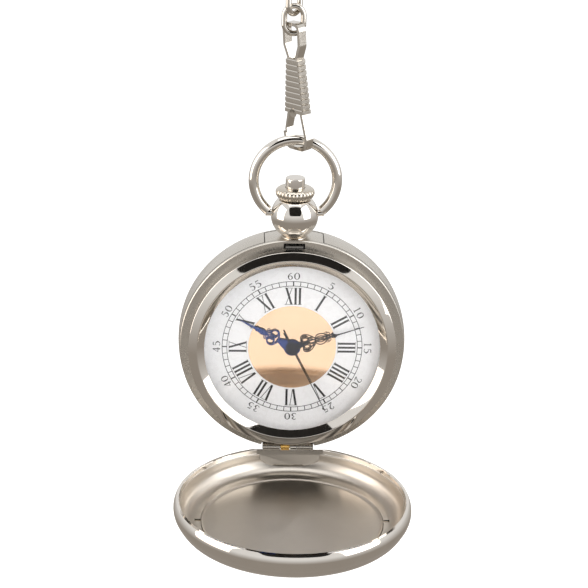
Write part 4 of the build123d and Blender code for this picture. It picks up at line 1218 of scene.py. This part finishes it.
# ---------------------------------------------------------------- studio
@dataclass
class Studio:
    """Camera, soft lights, dark card above the camera, pale surroundings and floor."""

    elevation: float = 20.7
    azimuth: float = -2.07
    roll: float = 1.34
    distance: float = 423.2
    aim: Point = (0.153, -3.2, 12.35)
    lens: float = 119.3
    floor_gap: float = 30.0
    floor_mm: float = 1000.0
    floor_glow: float = 0.22
    sky_strength: float = 0.9
    backdrop: float = 1.25

    def direction(self, azimuth: float, elevation: float) -> Vector:
        """Unit vector from the watch towards an azimuth (right of the front) and an elevation."""
        a, e = radians(azimuth), radians(elevation)
        return Vector((sin(a) * cos(e), -cos(a) * cos(e), sin(e)))

    def camera(self) -> None:
        """Set the camera."""
        back = self.direction(self.azimuth, self.elevation)
        right = Vector((cos(radians(self.azimuth)), sin(radians(self.azimuth)), 0.0))
        up = back.cross(right)
        turn = Matrix((right, up, back)).transposed().to_4x4() @ Matrix.Rotation(radians(self.roll), 4, "Z")
        data = bpy.data.cameras.new("camera")
        data.lens, data.sensor_width, data.clip_start = self.lens, 36.0, 0.01
        eye = bpy.data.objects.new("camera", data)
        eye.matrix_world = Matrix.Translation(metres(self.aim) + back * self.distance * MM) @ turn
        bpy.context.scene.collection.objects.link(eye)
        bpy.context.scene.camera = eye

    def softbox(self, name: str, azimuth: float, elevation: float, reach: float, size: Flat, power: float,
                colour: str) -> None:
        """Rectangular soft light that faces the watch.

        Args:
            name: the light's name.
            azimuth: degrees to the right of the front.
            elevation: degrees above the horizon.
            reach: distance in mm.
            size: width and height in mm.
            power: light in watts.
            colour: hex colour.
        """
        data = bpy.data.lights.new(name, "AREA")
        data.shape, data.size, data.size_y = "RECTANGLE", size[0] * MM, size[1] * MM
        data.energy, data.color = power, linear(colour)[:3]
        lamp = bpy.data.objects.new(name, data)
        way = self.direction(azimuth, elevation)
        lamp.location = metres((0, 0, 0)) + way * reach * MM
        lamp.rotation_euler = way.to_track_quat("Z", "Y").to_euler()
        lamp.visible_camera = False
        bpy.context.scene.collection.objects.link(lamp)

    def card(self, name: str, azimuth: float, elevation: float, reach: float, size: Flat, colour: str) -> None:
        """Dark card with rounded corners, seen only in reflections."""
        way = self.direction(azimuth, elevation)
        right = Vector((cos(radians(azimuth)), sin(radians(azimuth)), 0.0))
        up = way.cross(right)
        corner = 0.22 * min(size)
        outline = rounded([(-size[0] / 2, -size[1] / 2, corner), (size[0] / 2, -size[1] / 2, corner),
                           (size[0] / 2, size[1] / 2, corner), (-size[0] / 2, size[1] / 2, corner)], 6)
        made = new_object(name, [metres(way * reach + right * a + up * b) for a, b in outline],
                          [tuple(range(len(outline)))])
        made.data.materials.append(Coat(f"{name}_flock", colour, colour, 0.9, 4.0, 0.0, gloss=0.0).build())
        made.visible_camera = False
        made.visible_shadow = False
        made.visible_diffuse = False
        made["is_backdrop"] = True

    def floor(self) -> None:
        """Pale matt floor well below the cover."""
        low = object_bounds()[0].z - self.floor_gap * MM
        span = self.floor_mm / 2 * MM
        made = new_object("floor", [(-span, -span, low), (span, -span, low), (span, span, low), (-span, span, low)],
                          [(0, 1, 2, 3)])
        finish = Coat("pale_studio_floor", "#ffffff", "#fdfdfc", 0.8, 20.0, 0.0).build()
        glow = finish.node_tree.nodes["Principled BSDF"].inputs
        glow["Emission Color"].default_value = (1, 1, 1, 1)
        glow["Emission Strength"].default_value = self.floor_glow
        made.data.materials.append(finish)
        made.visible_glossy = False
        made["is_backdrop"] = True

    def sky(self) -> None:
        """Even pale surroundings, warmer and darker towards the floor."""
        world = bpy.data.worlds.new("studio")
        bpy.context.scene.world = world
        world.use_nodes = True
        tree = world.node_tree
        back = tree.nodes["Background"]
        place = add(tree, "ShaderNodeTexCoord").outputs["Generated"]
        parts = add(tree, "ShaderNodeSeparateXYZ", {0: place})
        ramp = add(tree, "ShaderNodeValToRGB", {0: parts.outputs[2]})
        stops = ramp.color_ramp.elements
        stops[0].position, stops[0].color = 0.12, linear("#a8a199")
        stops[1].position, stops[1].color = 0.44, linear("#ffffff")
        level = add(tree, "ShaderNodeMapRange", {0: parts.outputs[2], 1: -0.6, 2: 1.0})
        tree.links.new(level.outputs[0], ramp.inputs[0])
        ray = add(tree, "ShaderNodeLightPath")
        white = (self.backdrop, self.backdrop, self.backdrop, 1)
        pick = add(tree, "ShaderNodeMix", {0: ray.outputs["Is Camera Ray"], 6: ramp.outputs[0], 7: white},
                   data_type="RGBA")
        tree.links.new(pick.outputs[2], back.inputs[0])
        back.inputs[1].default_value = self.sky_strength

    def build(self) -> None:
        """Set everything round the watch."""
        bpy.context.scene.view_settings.view_transform = "Standard"
        self.camera()
        self.sky()
        self.softbox("left_softbox", -75, 15, 420, (320, 420), 0.95, "#fff3e8")
        self.softbox("right_softbox", 62, 22, 420, (300, 420), 0.95, "#ffffff")
        self.softbox("top_softbox", 0, 85, 420, (420, 320), 0.4, "#ffffff")
        self.card("dark_card", 2, 37, 430, (460, 340), "#0d0b09")
        self.floor()


def main() -> None:
    """Build the watch and its surroundings."""
    logging.basicConfig(level=logging.INFO, format="%(name)s %(message)s", stream=sys.stdout)
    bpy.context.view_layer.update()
    Studio().build()
    case = Case()
    case.build_bezel()
    case.build_glass()
    case.build_saddle()
    case.dress()
    cover = FrontCover()
    cover.build_shell()
    cover.build_plate()
    cover.dress()
    dial = Dial()
    dial.build_print()
    dial.dress()
    hands = Hands()
    hands.build_hour()
    hands.build_minute()
    hands.dress()
    pendant = Pendant()
    pendant.build_ball()
    pendant.build_bow()
    pendant.build_button()
    pendant.build_crown()
    pendant.dress()
    chain = ChainAndClasp()
    chain.build()
    chain.build_sleeve()
    Movement().dress()


if __name__ == "__main__":
    main()
